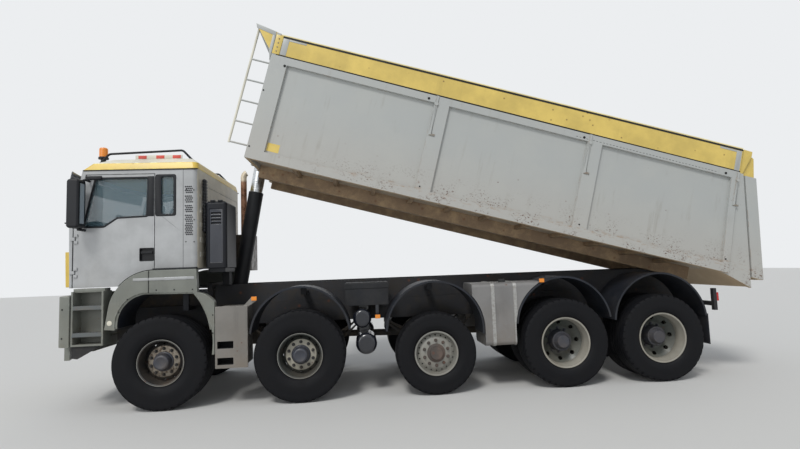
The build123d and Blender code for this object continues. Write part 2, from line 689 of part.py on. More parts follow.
def step_boxes():
    """Grey box behind each front wheel, with two toe holes in its cover."""
    cover = box(BOX_REAR, BOX_FRONT, BOX_SKIN, SIDE_Y, BOX_LOW, BOX_TOP)
    inner = box(BOX_REAR + 37, BOX_FRONT, BOX_IN, BOX_SKIN, BOX_LOW + 20, BOX_TOP - 17)
    for low, high in TOE_HOLES:
        hole = box(BOX_REAR + 182, BOX_FRONT - 28, BOX_SKIN - 115, SIDE_Y + 10, low, high)
        cover -= hole
        inner -= hole
    stay = [box(-960, -860, RAIL_Y + RUN_GAP, BOX_IN + 5, z, z + 60) for z in (1010.0, 1170.0)]
    x, y, z = MARKERS[0]
    bracket = side_plate([(BOX_REAR + 52, BOX_TOP - 52), (BOX_REAR + 52, BOX_TOP - 4), (x + 30, z + 24),
                          (x - 30, z + 24), (x - 30, z - 30)], y - 12, y)
    return both(joined([cover, inner, bracket] + stay))


TANK_STRAPS = (-4395.0, -4705.0)
TANK_BRACKETS = (-4395.0, -4640.0)
ARCH_GAP = 8.0
TANK_REAR = -5100.0
TANK_FRONT = -4110.0
TANK_IN = 640.0
TANK_OUT = 1225.0
TANK_LOW = 605.0
TANK_TOP = 1455.0
TANK_R = 60.0
TANK_FILLER_X = -4560.0


def tank_block(x0, x1, grow):
    """A length of the tank's rounded section, grown outwards."""
    wide, high = TANK_OUT - TANK_IN + 2 * grow, TANK_TOP - TANK_LOW + 2 * grow
    middle = Pos((TANK_IN + TANK_OUT) / 2, (TANK_LOW + TANK_TOP) / 2)
    start = Plane(origin=(x0, 0, 0), x_dir=(0, 1, 0), z_dir=(1, 0, 0))
    return extrude(start * middle * RectangleRounded(wide, high, TANK_R + grow), x1 - x0)


def fuel_tanks():
    """Tank between axles three and four, cut back under each wheel arch, with its straps and cap."""
    straps = [tank_block(x - 22, x + 22, 8.0) for x in TANK_STRAPS]
    brackets = [box(x - 60, x + 60, RAIL_Y + RUN_GAP, TANK_IN + 5, 1000, 1240) for x in TANK_BRACKETS]
    filler = Pos(TANK_FILLER_X, TANK_OUT - 120, TANK_TOP + 14) * Cylinder(48, 60)
    body = joined([tank_block(TANK_REAR, TANK_FRONT, 0.0), filler] + straps)
    for number in (3, 4):
        spec = ARCHES[number]
        x = AXLES[number]["x"]
        reach = spec["radius"] + FENDER_THICK + ARCH_GAP
        body -= across(x - spec["back"], spec["z"], reach, 500, 1300)
        body -= box(x - reach, x + reach, 500, 1300, 500, spec["z"])
    return both(joined([body] + brackets))


def air_tank(x, z, radius, y0, y1):
    """Round pressure vessel across the truck, with domed ends."""
    vessel = across(x, z, radius, y0, y1)
    return fillet(vessel.edges().filter_by(GeomType.CIRCLE), radius * 0.4)


BATTERY_REAR = -2980.0
BATTERY_FRONT = -2380.0
BATTERY_IN = 570.0
BATTERY_OUT = 940.0
BATTERY_LOW = 1205.0
LID_LOW = 1440.0
LID_TOP = 1520.0
LID_PROUD = 10.0
# Air tanks across the truck: X, height, radius, outer end
AIR_TANKS = [(-2605.0, 1030.0, 128.0, 1010.0), (-2655.0, 690.0, 145.0, 1050.0)]


def battery_and_air_tanks():
    """Battery box with its lid, and the two air tanks under it, all on one hanger."""
    battery = box(BATTERY_REAR, BATTERY_FRONT, BATTERY_IN, BATTERY_OUT, BATTERY_LOW, LID_LOW + 10)
    lid = box(BATTERY_REAR - LID_PROUD, BATTERY_FRONT + LID_PROUD, BATTERY_IN - LID_PROUD,
              BATTERY_OUT + LID_PROUD, LID_LOW, LID_TOP)
    lid = chamfer(lid.edges().group_by(Axis.Z)[-1], 14)
    tanks = [air_tank(x, z, radius, BATTERY_IN - 10, outer) for x, z, radius, outer in AIR_TANKS]
    hanger = box(-2700, -2560, RAIL_Y + RUN_GAP, 640, 620, BATTERY_LOW + 45)
    x, y, z = MARKERS[1]
    bracket = [box(x - 22, x + 22, BATTERY_OUT - 20, BATTERY_OUT, z - 20, BATTERY_LOW + 5),
               box(x - 22, x + 22, BATTERY_OUT - 20, y, z - 20, z + 15)]
    return both(joined([battery, lid, hanger] + tanks + bracket))


def intake_box():
    """Tall air intake box behind the cab on the left, with its inset panel and its bracket."""
    body = box(INTAKE_REAR, INTAKE_FRONT, INTAKE_IN, INTAKE_OUT, INTAKE_LOW, INTAKE_TOP)
    body = fillet(body.edges().filter_by(Axis.Z), 45)
    body = chamfer(body.edges().group_by(Axis.Z)[-1], 30)
    body -= box(INTAKE_REAR + 55, INTAKE_FRONT - 55, INTAKE_OUT - 12, INTAKE_OUT + 5,
                INTAKE_LOW + 70, INTAKE_TOP - 105)
    for z in INTAKE_SLOTS:
        body -= box(INTAKE_REAR + 75, INTAKE_FRONT - 75, INTAKE_OUT - 32, INTAKE_OUT, z, z + 24)
    shelf = INTAKE_LOW - 60
    bracket = [box(-760, -540, INTAKE_IN, INTAKE_OUT - 40, shelf, INTAKE_LOW + 2),
               box(-700, -600, RAIL_Y - 70, INTAKE_IN + 70, SUB_TOP + RUN_GAP, shelf + 5)]
    return joined([body] + bracket)


EXHAUST_X = -655.0
EXHAUST_Y = -620.0
EXHAUST_R = 50.0
EXHAUST_BEND_Z = 3330.0
SILENCER_LOW = 1750.0
SILENCER_TOP = 2350.0


def exhaust_stack():
    """Upright exhaust behind the cab on the right, from its silencer box to the curved tip."""
    silencer = box(-800, -520, -1000, -450, SILENCER_LOW, SILENCER_TOP)
    silencer = fillet(silencer.edges().filter_by(Axis.Z), 50)
    bracket = box(-700, -600, -520, 70 - RAIL_Y, SUB_TOP + RUN_GAP, SILENCER_LOW + 5)
    foot = (EXHAUST_X, EXHAUST_Y, SILENCER_TOP - 10)
    pipe = rod(foot, (EXHAUST_X, EXHAUST_Y, EXHAUST_BEND_Z), EXHAUST_R)
    bend_axis = Axis((EXHAUST_X - 2 * EXHAUST_R, EXHAUST_Y, EXHAUST_BEND_Z), (0, -1, 0))
    bend = revolve(Plane(origin=(EXHAUST_X, EXHAUST_Y, EXHAUST_BEND_Z)) * Circle(EXHAUST_R), bend_axis, 60)
    return joined([silencer, bracket, pipe, bend])


# Side marker lamps: place of the middle along X, back face Y, height of the middle
MARKERS = [(-1199.0, 1232.0, 1378.0), (-2818.0, 1070.0, 1057.0), (-5088.0, 1225.0, 1464.0)]
MARKER_LONG = 68.0
MARKER_HIGH = 52.0
MARKER_DEEP = 24.0


def lamps():
    """Side marker lamps, head lamps and the rear lamp blocks."""
    solids = [box(x - MARKER_LONG / 2, x + MARKER_LONG / 2, y + RUN_GAP, y + MARKER_DEEP,
                  z - MARKER_HIGH / 2, z + MARKER_HIGH / 2) for x, y, z in MARKERS]
    solids.append(box(LAMP_BAR_X - 30, LAMP_BAR_X, 1020, LAMP_BAR_HALF, 1070, 1190))
    solids.append(head_lamp("left"))
    return both(group(solids))


LAMP_BAR_X = -7690.0
LAMP_BAR_HALF = 1150.0
LAMP_BAR_THICK = 50.0


def rear_lamp_bar():
    """Cross bar behind the frame with an upright at each end for the lamps."""
    rear, front = LAMP_BAR_X + RUN_GAP, LAMP_BAR_X + LAMP_BAR_THICK
    bar = box(rear, front, -LAMP_BAR_HALF, LAMP_BAR_HALF, 1000, 1060)
    posts = [box(rear, front, s * (LAMP_BAR_HALF - 60), s * LAMP_BAR_HALF, 940, 1250) for s in (1, -1)]
    arms = [box(front - 10, RAIL_REAR + 10, s * (RAIL_Y - RAIL_WIDE), s * RAIL_Y, 1000, 1240)
            for s in (1, -1)]
    return [bar] + posts + arms


# Cab

def cab_loft(inset, low, high):
    """The cab's outside moved in by an even wall, between two heights."""
    faces = []
    for z, corner, nose in CAB_SECTIONS:
        face_z = min(max(z, low), high)
        faces.append(bow_face(CAB_REAR + inset, corner - inset, nose - inset, CAB_HALF - inset, face_z,
                              front_r=max(CAB_FRONT_R - inset, 8.0), rear_r=max(CAB_REAR_R - inset, 8.0)))
    return loft(faces, ruled=True)


TUNNEL_HALF = 450.0
TUNNEL_TOP = 1900.0
TUNNEL_FRONT = 1120.0


def arch_cut(y0, y1):
    """Room for the wheel arch under the cab, as a solid to take away."""
    outline = Wire([
        ThreePointArc((575, CAB_FLOOR - 5), (395, 1738), (156, CAB_SIDE_BOTTOM)),
        Line((156, CAB_SIDE_BOTTOM), (CAB_REAR - 50, CAB_SIDE_BOTTOM)),
        Line((CAB_REAR - 50, CAB_SIDE_BOTTOM), (CAB_REAR - 50, CAB_FLOOR - 5)),
        Line((CAB_REAR - 50, CAB_FLOOR - 5), (575, CAB_FLOOR - 5)),
    ])
    return extrude(Plane.XZ.offset(-y1) * make_face(outline), y1 - y0)


def door_outline(gap, front_gap):
    """Side outline of the door, grown for its opening."""
    front = DOOR_FRONT + front_gap
    top_front = DOOR_TOP_FRONT + front_gap
    low, side_low, top = CAB_FLOOR - gap, CAB_SIDE_BOTTOM - gap, DOOR_TOP + gap
    return Wire([
        Line((front, low), (front, CAB_BELT)),
        Line((front, CAB_BELT), (top_front, top)),
        Line((top_front, top), (DOOR_REAR - gap, top)),
        Line((DOOR_REAR - gap, top), (DOOR_REAR - gap, side_low)),
        Line((DOOR_REAR - gap, side_low), (160, side_low)),
        ThreePointArc((160, side_low), (398, 1740 - gap), (576, low)),
        Line((576, low), (front, low)),
    ])


WINDOW_TOP = CAB_GUTTER - 113.0
WINDOW = [(1020, 2392), (872, WINDOW_TOP), (196, WINDOW_TOP), (214, 2520), (590, 2508), (760, 2392)]
REAR_WINDOW_TOP = CAB_GUTTER - 93.0
REAR_WINDOW = [(40, 2530), (40, REAR_WINDOW_TOP), (-140, REAR_WINDOW_TOP), (-140, 2530)]
SCREEN_LOW = 2450.0
SCREEN_HIGH = CAB_GUTTER - 58.0
SCREEN_HALF = CAB_HALF - 135.0
# Air vents behind the rear side window: five groups of slots, the lowest one taller
VENT_REAR = -385.0
VENT_FRONT = -275.0
VENT_GROUPS = [(2254.0, 5), (2432.0, 3), (2562.0, 3), (2692.0, 3), (2822.0, 3)]
VENT_PITCH = 34.0
VENT_HIGH = 18.0
VENT_DEEP = 14.0
# Pressed ribs across the rear wall, by height
REAR_RIBS = (1960.0, 2160.0, 2360.0, 2560.0, 2760.0, 2960.0)


def screen_prism(shrink):
    half = SCREEN_HALF - shrink
    return box(700, 1600, -half, half, SCREEN_LOW + shrink, SCREEN_HIGH - shrink)


def hinge_lugs():
    """Fixed lugs and pins of both doors' hinges, seen on the left."""
    parts = []
    for z in HINGE_ZS:
        post = DOOR_FRONT + DOOR_FRONT_GAP
        parts.append(box(HINGE_X, post + 28, HINGE_Y - HINGE_R, HINGE_Y + HINGE_R, z - 22, z + 22))
        parts.append(box(post + 1, post + 28, HINGE_Y - 24, HINGE_Y + HINGE_R, z - 22, z + 22))
        parts.append(Pos(HINGE_X, HINGE_Y, z) * Cylinder(HINGE_R, 44))
        parts.append(Pos(HINGE_X, HINGE_Y, z) * Cylinder(HINGE_PIN_R, 130))
    return parts


def vent_slots():
    """Slots of the cab's side vent, seen on the left, as solids to take away."""
    return [box(VENT_REAR, VENT_FRONT, CAB_HALF - VENT_DEEP, CAB_HALF + 5, low + i * VENT_PITCH,
                low + i * VENT_PITCH + VENT_HIGH) for low, count in VENT_GROUPS for i in range(count)]


# Side outline of the arm that carries the cab on the tilt pin
TILT_ARM = [(1225, 1025), (800, 1450), (800, 1610), (700, 1610), (700, 1450), (735, 1415), (1175, 975)]


def cab_shell():
    """Hollow cab with its floor, tunnel, pillars, window openings and door openings."""
    outer = cab_loft(0, CAB_FLOOR, CAB_GUTTER)
    low = cab_loft(CAB_WALL, CAB_FLOOR, CAB_GUTTER)
    room = low & box(-2000, 2000, -2000, 2000, CAB_FLOOR + CAB_WALL, CAB_GUTTER + 10)
    raised = box(CAB_REAR, 170, -CAB_HALF, CAB_HALF, CAB_FLOOR, CAB_SIDE_BOTTOM + CAB_WALL)
    tunnel = box(CAB_REAR, TUNNEL_FRONT, -TUNNEL_HALF, TUNNEL_HALF, CAB_FLOOR, TUNNEL_TOP)
    arch_room = arch_cut(-CAB_HALF - 1, CAB_HALF + 1)
    arch_cover = Pos(0, 0, CAB_WALL) * arch_cut(-CAB_HALF, CAB_HALF)
    room = room - (raised + arch_cover) - tunnel
    shell = outer - room
    shell -= arch_room
    shell -= box(CAB_REAR - 10, TUNNEL_FRONT - CAB_WALL, CAB_WALL - TUNNEL_HALF, TUNNEL_HALF - CAB_WALL,
                 CAB_FLOOR - 10, TUNNEL_TOP - CAB_WALL)
    shell -= screen_prism(0)
    hole_face = make_face(door_outline(DOOR_GAP, DOOR_FRONT_GAP))
    door_hole = extrude(Plane.XZ.offset(-CAB_HALF - 30) * hole_face, CAB_WALL + 40)
    window = side_plate(REAR_WINDOW, CAB_HALF - CAB_WALL - 10, CAB_HALF + 10)
    for cutter in (door_hole, window):
        shell = shell - cutter - cutter.mirror(Plane.XZ)
    vents = joined(vent_slots())
    shell = shell - vents - vents.mirror(Plane.XZ)
    ribs = [box(CAB_REAR - 8, CAB_REAR + 5, 90 - CAB_HALF, CAB_HALF - 90, z, z + 60) for z in REAR_RIBS]
    lugs = joined(hinge_lugs())
    arms = [joined([side_plate(TILT_ARM, y0, y1), across(CAB_TILT_X, CAB_TILT_Z, 45, y0, y1)])
            for y0, y1 in ((RAIL_Y + 12, RAIL_Y + 62), (-RAIL_Y - 62, -RAIL_Y - 12))]
    shell = joined([shell, lugs, lugs.mirror(Plane.XZ)] + arms + ribs)
    return shell - across(CAB_TILT_X, CAB_TILT_Z, TILT_PIN_R + RUN_GAP, -700, 700)


def roof_solid(inset):
    """The roof's outside, moved in by an even wall; open at the gutter when inset."""
    faces = []
    for z, corner, nose, half, rear in ROOF_SECTIONS:
        down = 0 if inset == 0 else (1 if z == CAB_GUTTER else inset)
        faces.append(bow_face(rear + inset, corner - inset, nose - inset, half - inset, z + RUN_GAP - down,
                              front_r=CAB_FRONT_R - inset * 0.5, rear_r=CAB_REAR_R - inset * 0.5))
    return loft(faces, ruled=True)


def cab_roof():
    return roof_solid(0) - roof_solid(ROOF_WALL)


def cab_glass():
    """Windscreen and the fixed rear side windows."""
    skin = cab_loft(14, CAB_FLOOR, CAB_GUTTER) - cab_loft(14 + GLASS_THICK, CAB_FLOOR, CAB_GUTTER)
    screen = skin & screen_prism(RUN_GAP)
    pane = side_plate(REAR_WINDOW, CAB_HALF - 30, CAB_HALF - 30 + GLASS_THICK)
    return group([screen, pane, pane.mirror(Plane.XZ)])


HANDLE_REAR = 124.0
HANDLE_FRONT = 300.0
HANDLE_LOW = 1925.0
HANDLE_HIGH = 2090.0


def door(side):
    panel = extrude(Plane.XZ.offset(-CAB_HALF) * make_face(door_outline(0, 0)), CAB_WALL)
    panel -= side_plate(WINDOW, CAB_HALF - CAB_WALL - 10, CAB_HALF + 10)
    for z in HINGE_ZS:
        for end in (-45, 45):
            panel += Pos(HINGE_X, HINGE_Y, z + end) * Cylinder(HINGE_R, 36)
            panel += box(HINGE_X - 40, HINGE_X, CAB_HALF - 10, HINGE_Y + HINGE_R, z + end - 18, z + end + 18)
        panel -= box(HINGE_X - HINGE_R - 5, DOOR_FRONT + 10, CAB_HALF - 8, CAB_HALF + 20, z - 27, z + 27)
        panel -= Pos(HINGE_X, HINGE_Y, z) * Cylinder(HINGE_PIN_R + RUN_GAP, 180)
    panel -= box(HANDLE_REAR, HANDLE_FRONT, CAB_HALF - 28, CAB_HALF + 5, HANDLE_LOW, HANDLE_HIGH)
    panel += box(HANDLE_REAR + 16, HANDLE_FRONT - 10, CAB_HALF - 30, CAB_HALF - 2,
                 HANDLE_HIGH - 70, HANDLE_HIGH - 40)
    return panel.mirror(Plane.XZ) if side == "right" else panel


def door_glass(side):
    pane = side_plate(WINDOW, CAB_HALF - 34, CAB_HALF - 34 + GLASS_THICK)
    return pane.mirror(Plane.XZ) if side == "right" else pane


MIRROR_LOW = 2365.0
MIRROR_REAR = 935.0
MIRROR_FRONT = 1090.0
MIRROR_ARM_R = 17.0
MIRROR_TUBE_R = 14.0


def mirror_unit(side):
    """Tall mirror housing with rounded corners, on a bent arm above and a straight one below."""
    y_in, y_out = CAB_HALF + 95, CAB_HALF + 280
    top = CAB_GUTTER - 158
    housing = box(MIRROR_REAR, MIRROR_FRONT, y_in, y_out, MIRROR_LOW, top)
    housing = fillet(housing.edges().filter_by(Axis.Y), 42)
    housing = fillet(housing.faces().sort_by(Axis.X)[-1].edges(), 30)
    skin = CAB_HALF + RUN_GAP
    low_arm = across(MIRROR_REAR + 65, MIRROR_LOW - 13, MIRROR_ARM_R, skin, y_in + 60)
    elbow = (MIRROR_REAR + 13, CAB_HALF + 110, top + 8)
    high_arm = [across(elbow[0], elbow[2], MIRROR_TUBE_R, skin, elbow[1]),
                Pos(*elbow) * Sphere(MIRROR_TUBE_R),
                rod(elbow, (MIRROR_REAR + 75, y_in + 40, top - 15), MIRROR_TUBE_R)]
    unit = joined([housing, low_arm] + high_arm)
    return unit.mirror(Plane.XZ) if side == "right" else unit


FLAP_TOP = 2080.0
GRILLE_ZS = [CAB_FLOOR + 90.0 + 84.0 * i for i in range(4)]
GRILLE_HIGH = 44.0


def front_panel():
    """Raised service flap below the windscreen, with the grille's slots."""
    skin = cab_loft(-70, CAB_FLOOR, CAB_GUTTER) - cab_loft(-RUN_GAP, CAB_FLOOR, CAB_GUTTER)
    panel = skin & box(1150, 1600, 160 - CAB_HALF, CAB_HALF - 160, CAB_FLOOR + 10, FLAP_TOP)
    for z in GRILLE_ZS:
        panel -= box(1150, 1600, 320 - CAB_HALF, CAB_HALF - 320, z, z + GRILLE_HIGH)
    return panel


VISOR_STAYS = (-700.0, 0.0, 700.0)


def sun_visor():
    """Visor across the top of the windscreen, on three stays."""
    half = CAB_HALF - 40
    skin = cab_loft(-110, CAB_FLOOR, CAB_GUTTER) - cab_loft(-100, CAB_FLOOR, CAB_GUTTER)
    blade = skin & box(1000, 1600, -half, half, CAB_GUTTER - 193, CAB_GUTTER - 3)
    reach = cab_loft(-105, CAB_FLOOR, CAB_GUTTER) - cab_loft(-RUN_GAP, CAB_FLOOR, CAB_GUTTER)
    stays = [box(1020, 1400, y - 15, y + 15, CAB_GUTTER - 43, CAB_GUTTER - 13) & reach for y in VISOR_STAYS]
    return joined([blade] + stays)


RAIL_IN = CAB_HALF - 240.0
RAIL_PATH = [(1010, RAIL_IN, CAB_GUTTER + 62), (820, RAIL_IN, CAB_GUTTER + 272),
             (-170, RAIL_IN, CAB_GUTTER + 309), (-395, RAIL_IN + 20, CAB_GUTTER + 62)]
RAIL_TUBE_R = 15.0
BEACON_X = 985.0
BEACON_Y = CAB_HALF - 420.0
BEACON_LOW = CAB_GUTTER + 267.0
BEACON_HIGH = CAB_GUTTER + 407.0


def beacon():
    """Turning lamp on its foot, before it is set on the roof."""
    foot_low = CAB_GUTTER + 80
    foot = Pos(0, 0, (foot_low + BEACON_LOW) / 2) * Cylinder(34, BEACON_LOW - foot_low)
    plate = Pos(0, 0, BEACON_LOW - 12) * Cylinder(66, 24)
    dome = Pos(0, 0, (BEACON_LOW + BEACON_HIGH) / 2) * Cylinder(56, BEACON_HIGH - BEACON_LOW)
    dome = fillet(dome.edges().filter_by(GeomType.CIRCLE).sort_by(Axis.Z)[-1], 26)
    return joined([foot, plate, dome])


def roof_rail():
    """Hooped tube over each side of the roof, and the two beacons in front of it."""
    path = FilletPolyline(*RAIL_PATH, radius=70)
    hoop = sweep(Plane(origin=path @ 0, z_dir=path % 0) * Circle(RAIL_TUBE_R), path)
    roof = roof_solid(0)
    lamp = Pos(BEACON_X, BEACON_Y, 0) * beacon()
    return both(group([hoop - roof, lamp - roof]))


def seats():
    """High backed seat on its pedestal, one on each side."""
    y0, y1 = CAB_HALF - 560, CAB_HALF - 100
    profile = Wire([
        Line((-20, 2060), (480, 2080)), ThreePointArc((480, 2080), (520, 2130), (480, 2178)),
        Line((480, 2178), (85, 2160)), Line((85, 2160), (-25, 2640)), Line((-25, 2640), (-50, 2840)),
        ThreePointArc((-50, 2840), (-95, 2880), (-130, 2840)), Line((-130, 2840), (-150, 2150)),
        Line((-150, 2150), (-20, 2060)),
    ])
    cushion = extrude(Plane.XZ.offset(-y1) * make_face(profile), y1 - y0)
    for y in (y0, y1):
        cushion -= box(-160, 10, y - 110, y + 110, 2650, 2900)
    pedestal = box(20, 150, y0 + 60, y1 - 60, CAB_SIDE_BOTTOM + CAB_WALL + RUN_GAP, 2100)
    return both(joined([cushion, pedestal]))


DASH_OUTLINE = [(1500, 1950), (1500, 2430), (900, 2480), (760, 2380), (800, 2150), (900, 1950)]
STEER_X = 640.0
STEER_Z = 2420.0
STEER_R = 225.0
STEER_RIM_R = 16.0


def dashboard():
    """Dashboard against the front wall, with the steering column and wheel."""
    half = CAB_HALF - 85
    body = side_plate(DASH_OUTLINE, -half, half) & cab_loft(CAB_WALL + RUN_GAP, CAB_FLOOR, CAB_GUTTER)
    y = CAB_HALF - 470
    column = rod((830, y, 2250), (STEER_X, y, STEER_Z), 30)
    tilt = Plane(origin=(STEER_X, y, STEER_Z), z_dir=(-0.75, 0, 0.66))
    wheel_ring = tilt * Torus(STEER_R, STEER_RIM_R)
    spokes = tilt * Box(2 * STEER_R - 10, 40, 16)
    return joined([body, column, wheel_ring, spokes])


# Load body, in its lowered place: u runs back from the front wall, v up from the lower edge

def at_u(u):
    return BODY_FRONT_X - u


def at_v(v):
    return BODY_BASE_Z + v


def body_plate(points, y0, y1):
    return side_plate([(at_u(u), at_v(v)) for u, v in points], y0, y1)


def body_box(u0, u1, y0, y1, v0, v1):
    return box(at_u(u0), at_u(u1), y0, y1, at_v(v0), at_v(v1))


def tipped(shape):
    """Turn what was built level about the rear pivot to the stored angle."""
    return shape.rotate(Axis((TIP_X, 0, TIP_Z), (0, 1, 0)), -TIP_REST)


SIDE_REAR = BODY_LONG + 87.0
CHUTE_REAR = BODY_LONG + 468.0
SIDE_OUTLINE = [(0, 0), (0, BODY_SIDE_TOP), (SIDE_REAR, BODY_SIDE_TOP), (CHUTE_REAR - 38, 20),
                (CHUTE_REAR, -129), (BODY_LONG - 20, 0)]
# Posts on each side: u at the foot, u at the head, width
POSTS = [(0.0, 0.0, 240.0), (BODY_LONG * 0.339, BODY_LONG * 0.339, 215.0),
         (BODY_LONG * 0.667, BODY_LONG * 0.667, 215.0), (BODY_LONG - 30, BODY_LONG - 110, 110.0)]
RAIL_HIGH = 130.0
TOP_RAIL_HIGH = 108.0
# Latch levers on the posts: u, low end, high end
LEVERS = [(BODY_LONG * 0.3435, 900.0, 1475.0), (BODY_LONG * 0.6715, 900.0, 1475.0),
          (BODY_LONG - 12, 970.0, 1470.0)]
LEVER_WIDE = 36.0
LEVER_THICK = 12.0


NICHE_HALF = 170.0
NICHE_DEEP = 560.0
NICHE_TOP = 1450.0
NICHE_WALL = 16.0
FRONT_WALL_TOP = 1790.0
FRONT_RIB_YS = (-700.0, -300.0, 300.0, 700.0)
FRONT_WALL = 60.0


def niche(half, deep, top):
    """Wedge shaped room for the cylinder in the middle of the front wall."""
    return body_plate([(-5, -5), (deep, -5), (deep, FLOOR_LOW), (20, top), (-5, top)], -half, half)


def latch_lever(u, low, high):
    """Flat lever on a post, with its pivot and its bent grip."""
    inner, outer = BODY_HALF - 2, BODY_HALF + LEVER_THICK
    blade = body_box(u - LEVER_WIDE / 2, u + LEVER_WIDE / 2, inner, outer, low, high)
    pivot = across(at_u(u), at_v(high - 120), 26, inner, outer + 10)
    grip = body_box(u - 10, u + 70, inner, outer, low, low + 26)
    return [blade, pivot, grip]


def load_body():
    """Open box body: floor, front wall with the cylinder niche, sides with rails and posts, rear cheeks."""
    side = body_plate(SIDE_OUTLINE, BODY_INNER_Y, BODY_PANEL_Y)
    skin, top = BODY_PANEL_Y - 5, BODY_SIDE_TOP
    rails = [body_box(0, BODY_LONG, skin, BODY_HALF, low, high)
             for low, high in ((0, RAIL_HIGH), (top - TOP_RAIL_HIGH, top))]
    posts = [body_plate([(foot, 0), (foot + wide, 0), (head + wide, top), (head, top)], skin, BODY_HALF)
             for foot, head, wide in POSTS]
    levers = [piece for lever in LEVERS for piece in latch_lever(*lever)]
    cheek = body_plate([(BODY_LONG - 10, 0), (BODY_LONG - 10, top - 38), (SIDE_REAR, top),
                        (CHUTE_REAR - 38, 20), (CHUTE_REAR, -129)], skin, BODY_PANEL_Y + 12)
    half = joined([side] + rails + posts + levers + [cheek, gate_post()])
    wide = BODY_INNER_Y + 5
    floor = body_box(FRONT_WALL, CHUTE_REAR - 68, -wide, wide, FLOOR_LOW, FLOOR_HIGH)
    chute = body_plate([(BODY_LONG - 20, FLOOR_LOW), (CHUTE_REAR - 28, -120), (CHUTE_REAR - 16, -80),
                        (BODY_LONG + 30, FLOOR_HIGH - 10)], -wide, wide)
    front = body_box(0, FRONT_WALL, -BODY_HALF + 2, BODY_HALF - 2, 0, FRONT_WALL_TOP)
    ribs = [body_box(-30, 5, y - 40, y + 40, 0, FRONT_WALL_TOP - 10) for y in FRONT_RIB_YS]
    housing = niche(NICHE_HALF + NICHE_WALL, NICHE_DEEP + NICHE_WALL, NICHE_TOP + 40) & body_box(
        0, 2000, -500, 500, FLOOR_LOW, 1600)
    whole = joined([half, half.mirror(Plane.XZ), floor, chute, front, housing] + ribs)
    whole = whole - niche(NICHE_HALF, NICHE_DEEP, NICHE_TOP)
    return tipped(joined([whole, cylinder_bracket(), body_ladder()]))


def side_boards():
    """Raised boards with the rolled sheet along their tops, and the spill guard over the cylinder."""
    end = BODY_LONG + 15
    inner, outer = BODY_INNER_Y + 20, BODY_HALF - 8
    low = BODY_SIDE_TOP + RUN_GAP
    board = body_plate([(0, low), (0, BOARD_TOP_FRONT), (end, BOARD_TOP_REAR), (end, low)], inner, outer)
    board = board - body_box(-5, FRONT_WALL + RUN_GAP, 0, BODY_HALF, BODY_SIDE_TOP, FRONT_WALL_TOP + 10)
    roll = rod((at_u(65), outer - TARP_ROLL_R, at_v(BOARD_TOP_FRONT + 2)),
               (at_u(end), outer - TARP_ROLL_R, at_v(BOARD_TOP_REAR + 2)), TARP_ROLL_R)
    board = joined([board, roll])
    return tipped(group([board, other_side(board), spill_guard()]))


def spill_guard():
    """Canopy over the cylinder, with a gusset at each end."""
    half = BODY_HALF - 85
    top = body_plate([(-330, 1885), (0, 1830), (40, 1795), (40, FRONT_WALL_TOP + RUN_GAP),
                      (-15, FRONT_WALL_TOP + RUN_GAP), (-325, 1868)], -half, half)
    rear = -30 - RUN_GAP
    gusset = body_plate([(-325, 1872), (rear, 1815), (rear, 1415), (-60, 1560)], half - 25, half)
    notch = body_box(-335, -43, EXHAUST_Y - 110, EXHAUST_Y + 110, 1780, 1900)
    return joined([top, gusset, gusset.mirror(Plane.XZ)]) - notch


LADDER_U = -290.0
LADDER_Y = BODY_HALF - 145.0
LADDER_RUNGS = (190.0, 490.0, 790.0, 1090.0, 1390.0)
LADDER_STILE_R = 16.0
LADDER_RUNG_R = 12.0


def body_ladder():
    """Side ladder at the front corner: one stile, with rungs back to the front wall."""
    x = at_u(LADDER_U)
    stile = rod((x, LADDER_Y, at_v(LADDER_RUNGS[0] - 15)), (x, LADDER_Y, at_v(1845)), LADDER_STILE_R)
    rungs = [rod((x, LADDER_Y, at_v(v)), (at_u(5), LADDER_Y, at_v(v)), LADDER_RUNG_R) for v in LADDER_RUNGS]
    return joined([stile] + rungs)


CROSS_COUNT = 12
CROSS_US = [(BODY_LONG - 150) * (i + 1) / CROSS_COUNT + 70 for i in range(CROSS_COUNT - 1)]
RIB_WIDE = 60.0
EAR_LOW = -215.0


def body_underframe():
    """Long beams with their pivot ears, and the cross ribs let in between and outside them."""
    low_v, top_v = BEAM_LOW + 5, FLOOR_LOW - RUN_GAP
    beams = []
    for y0, y1 in ((BEAM_IN, BEAM_OUT), (-BEAM_OUT, -BEAM_IN)):
        beam = body_box(70, BODY_LONG - 25, y0, y1, BEAM_LOW, top_v)
        ear = body_plate([(PIVOT_U - 120, low_v), (PIVOT_U - 80, EAR_LOW), (PIVOT_U + 80, EAR_LOW),
                          (PIVOT_U + 140, low_v)], y0, y1)
        beams.append(joined([beam, ear]) - across(TIP_X, TIP_Z, PIVOT_R + RUN_GAP, -700, 700))
    spans = ((RUN_GAP - BEAM_IN, BEAM_IN - RUN_GAP), (BEAM_OUT + RUN_GAP, BODY_INNER_Y - 1),
             (1 - BODY_INNER_Y, -BEAM_OUT - RUN_GAP))
    ribs = [body_box(u, u + RIB_WIDE, y0, y1, 2, top_v) for u in CROSS_US for y0, y1 in spans]
    return tipped(group(beams + ribs))


HEAD_U = -180.0
EAR_IN = 76.0
EAR_OUT = 100.0


def cylinder_bracket():
    """Two ears on the front wall, one each side of the cylinder's eye."""
    outline = [(5, 1495), (HEAD_U - 60, 1500), (HEAD_U - 60, 1700), (5, 1730)]
    ears = [body_plate(outline, s * EAR_IN, s * EAR_OUT) for s in (1, -1)]
    back = body_box(-16, 5, -210, 210, 1480, 1740)
    return joined(ears + [back])


GATE_RIB_YS = (-760.0, -380.0, 0.0, 380.0, 760.0)


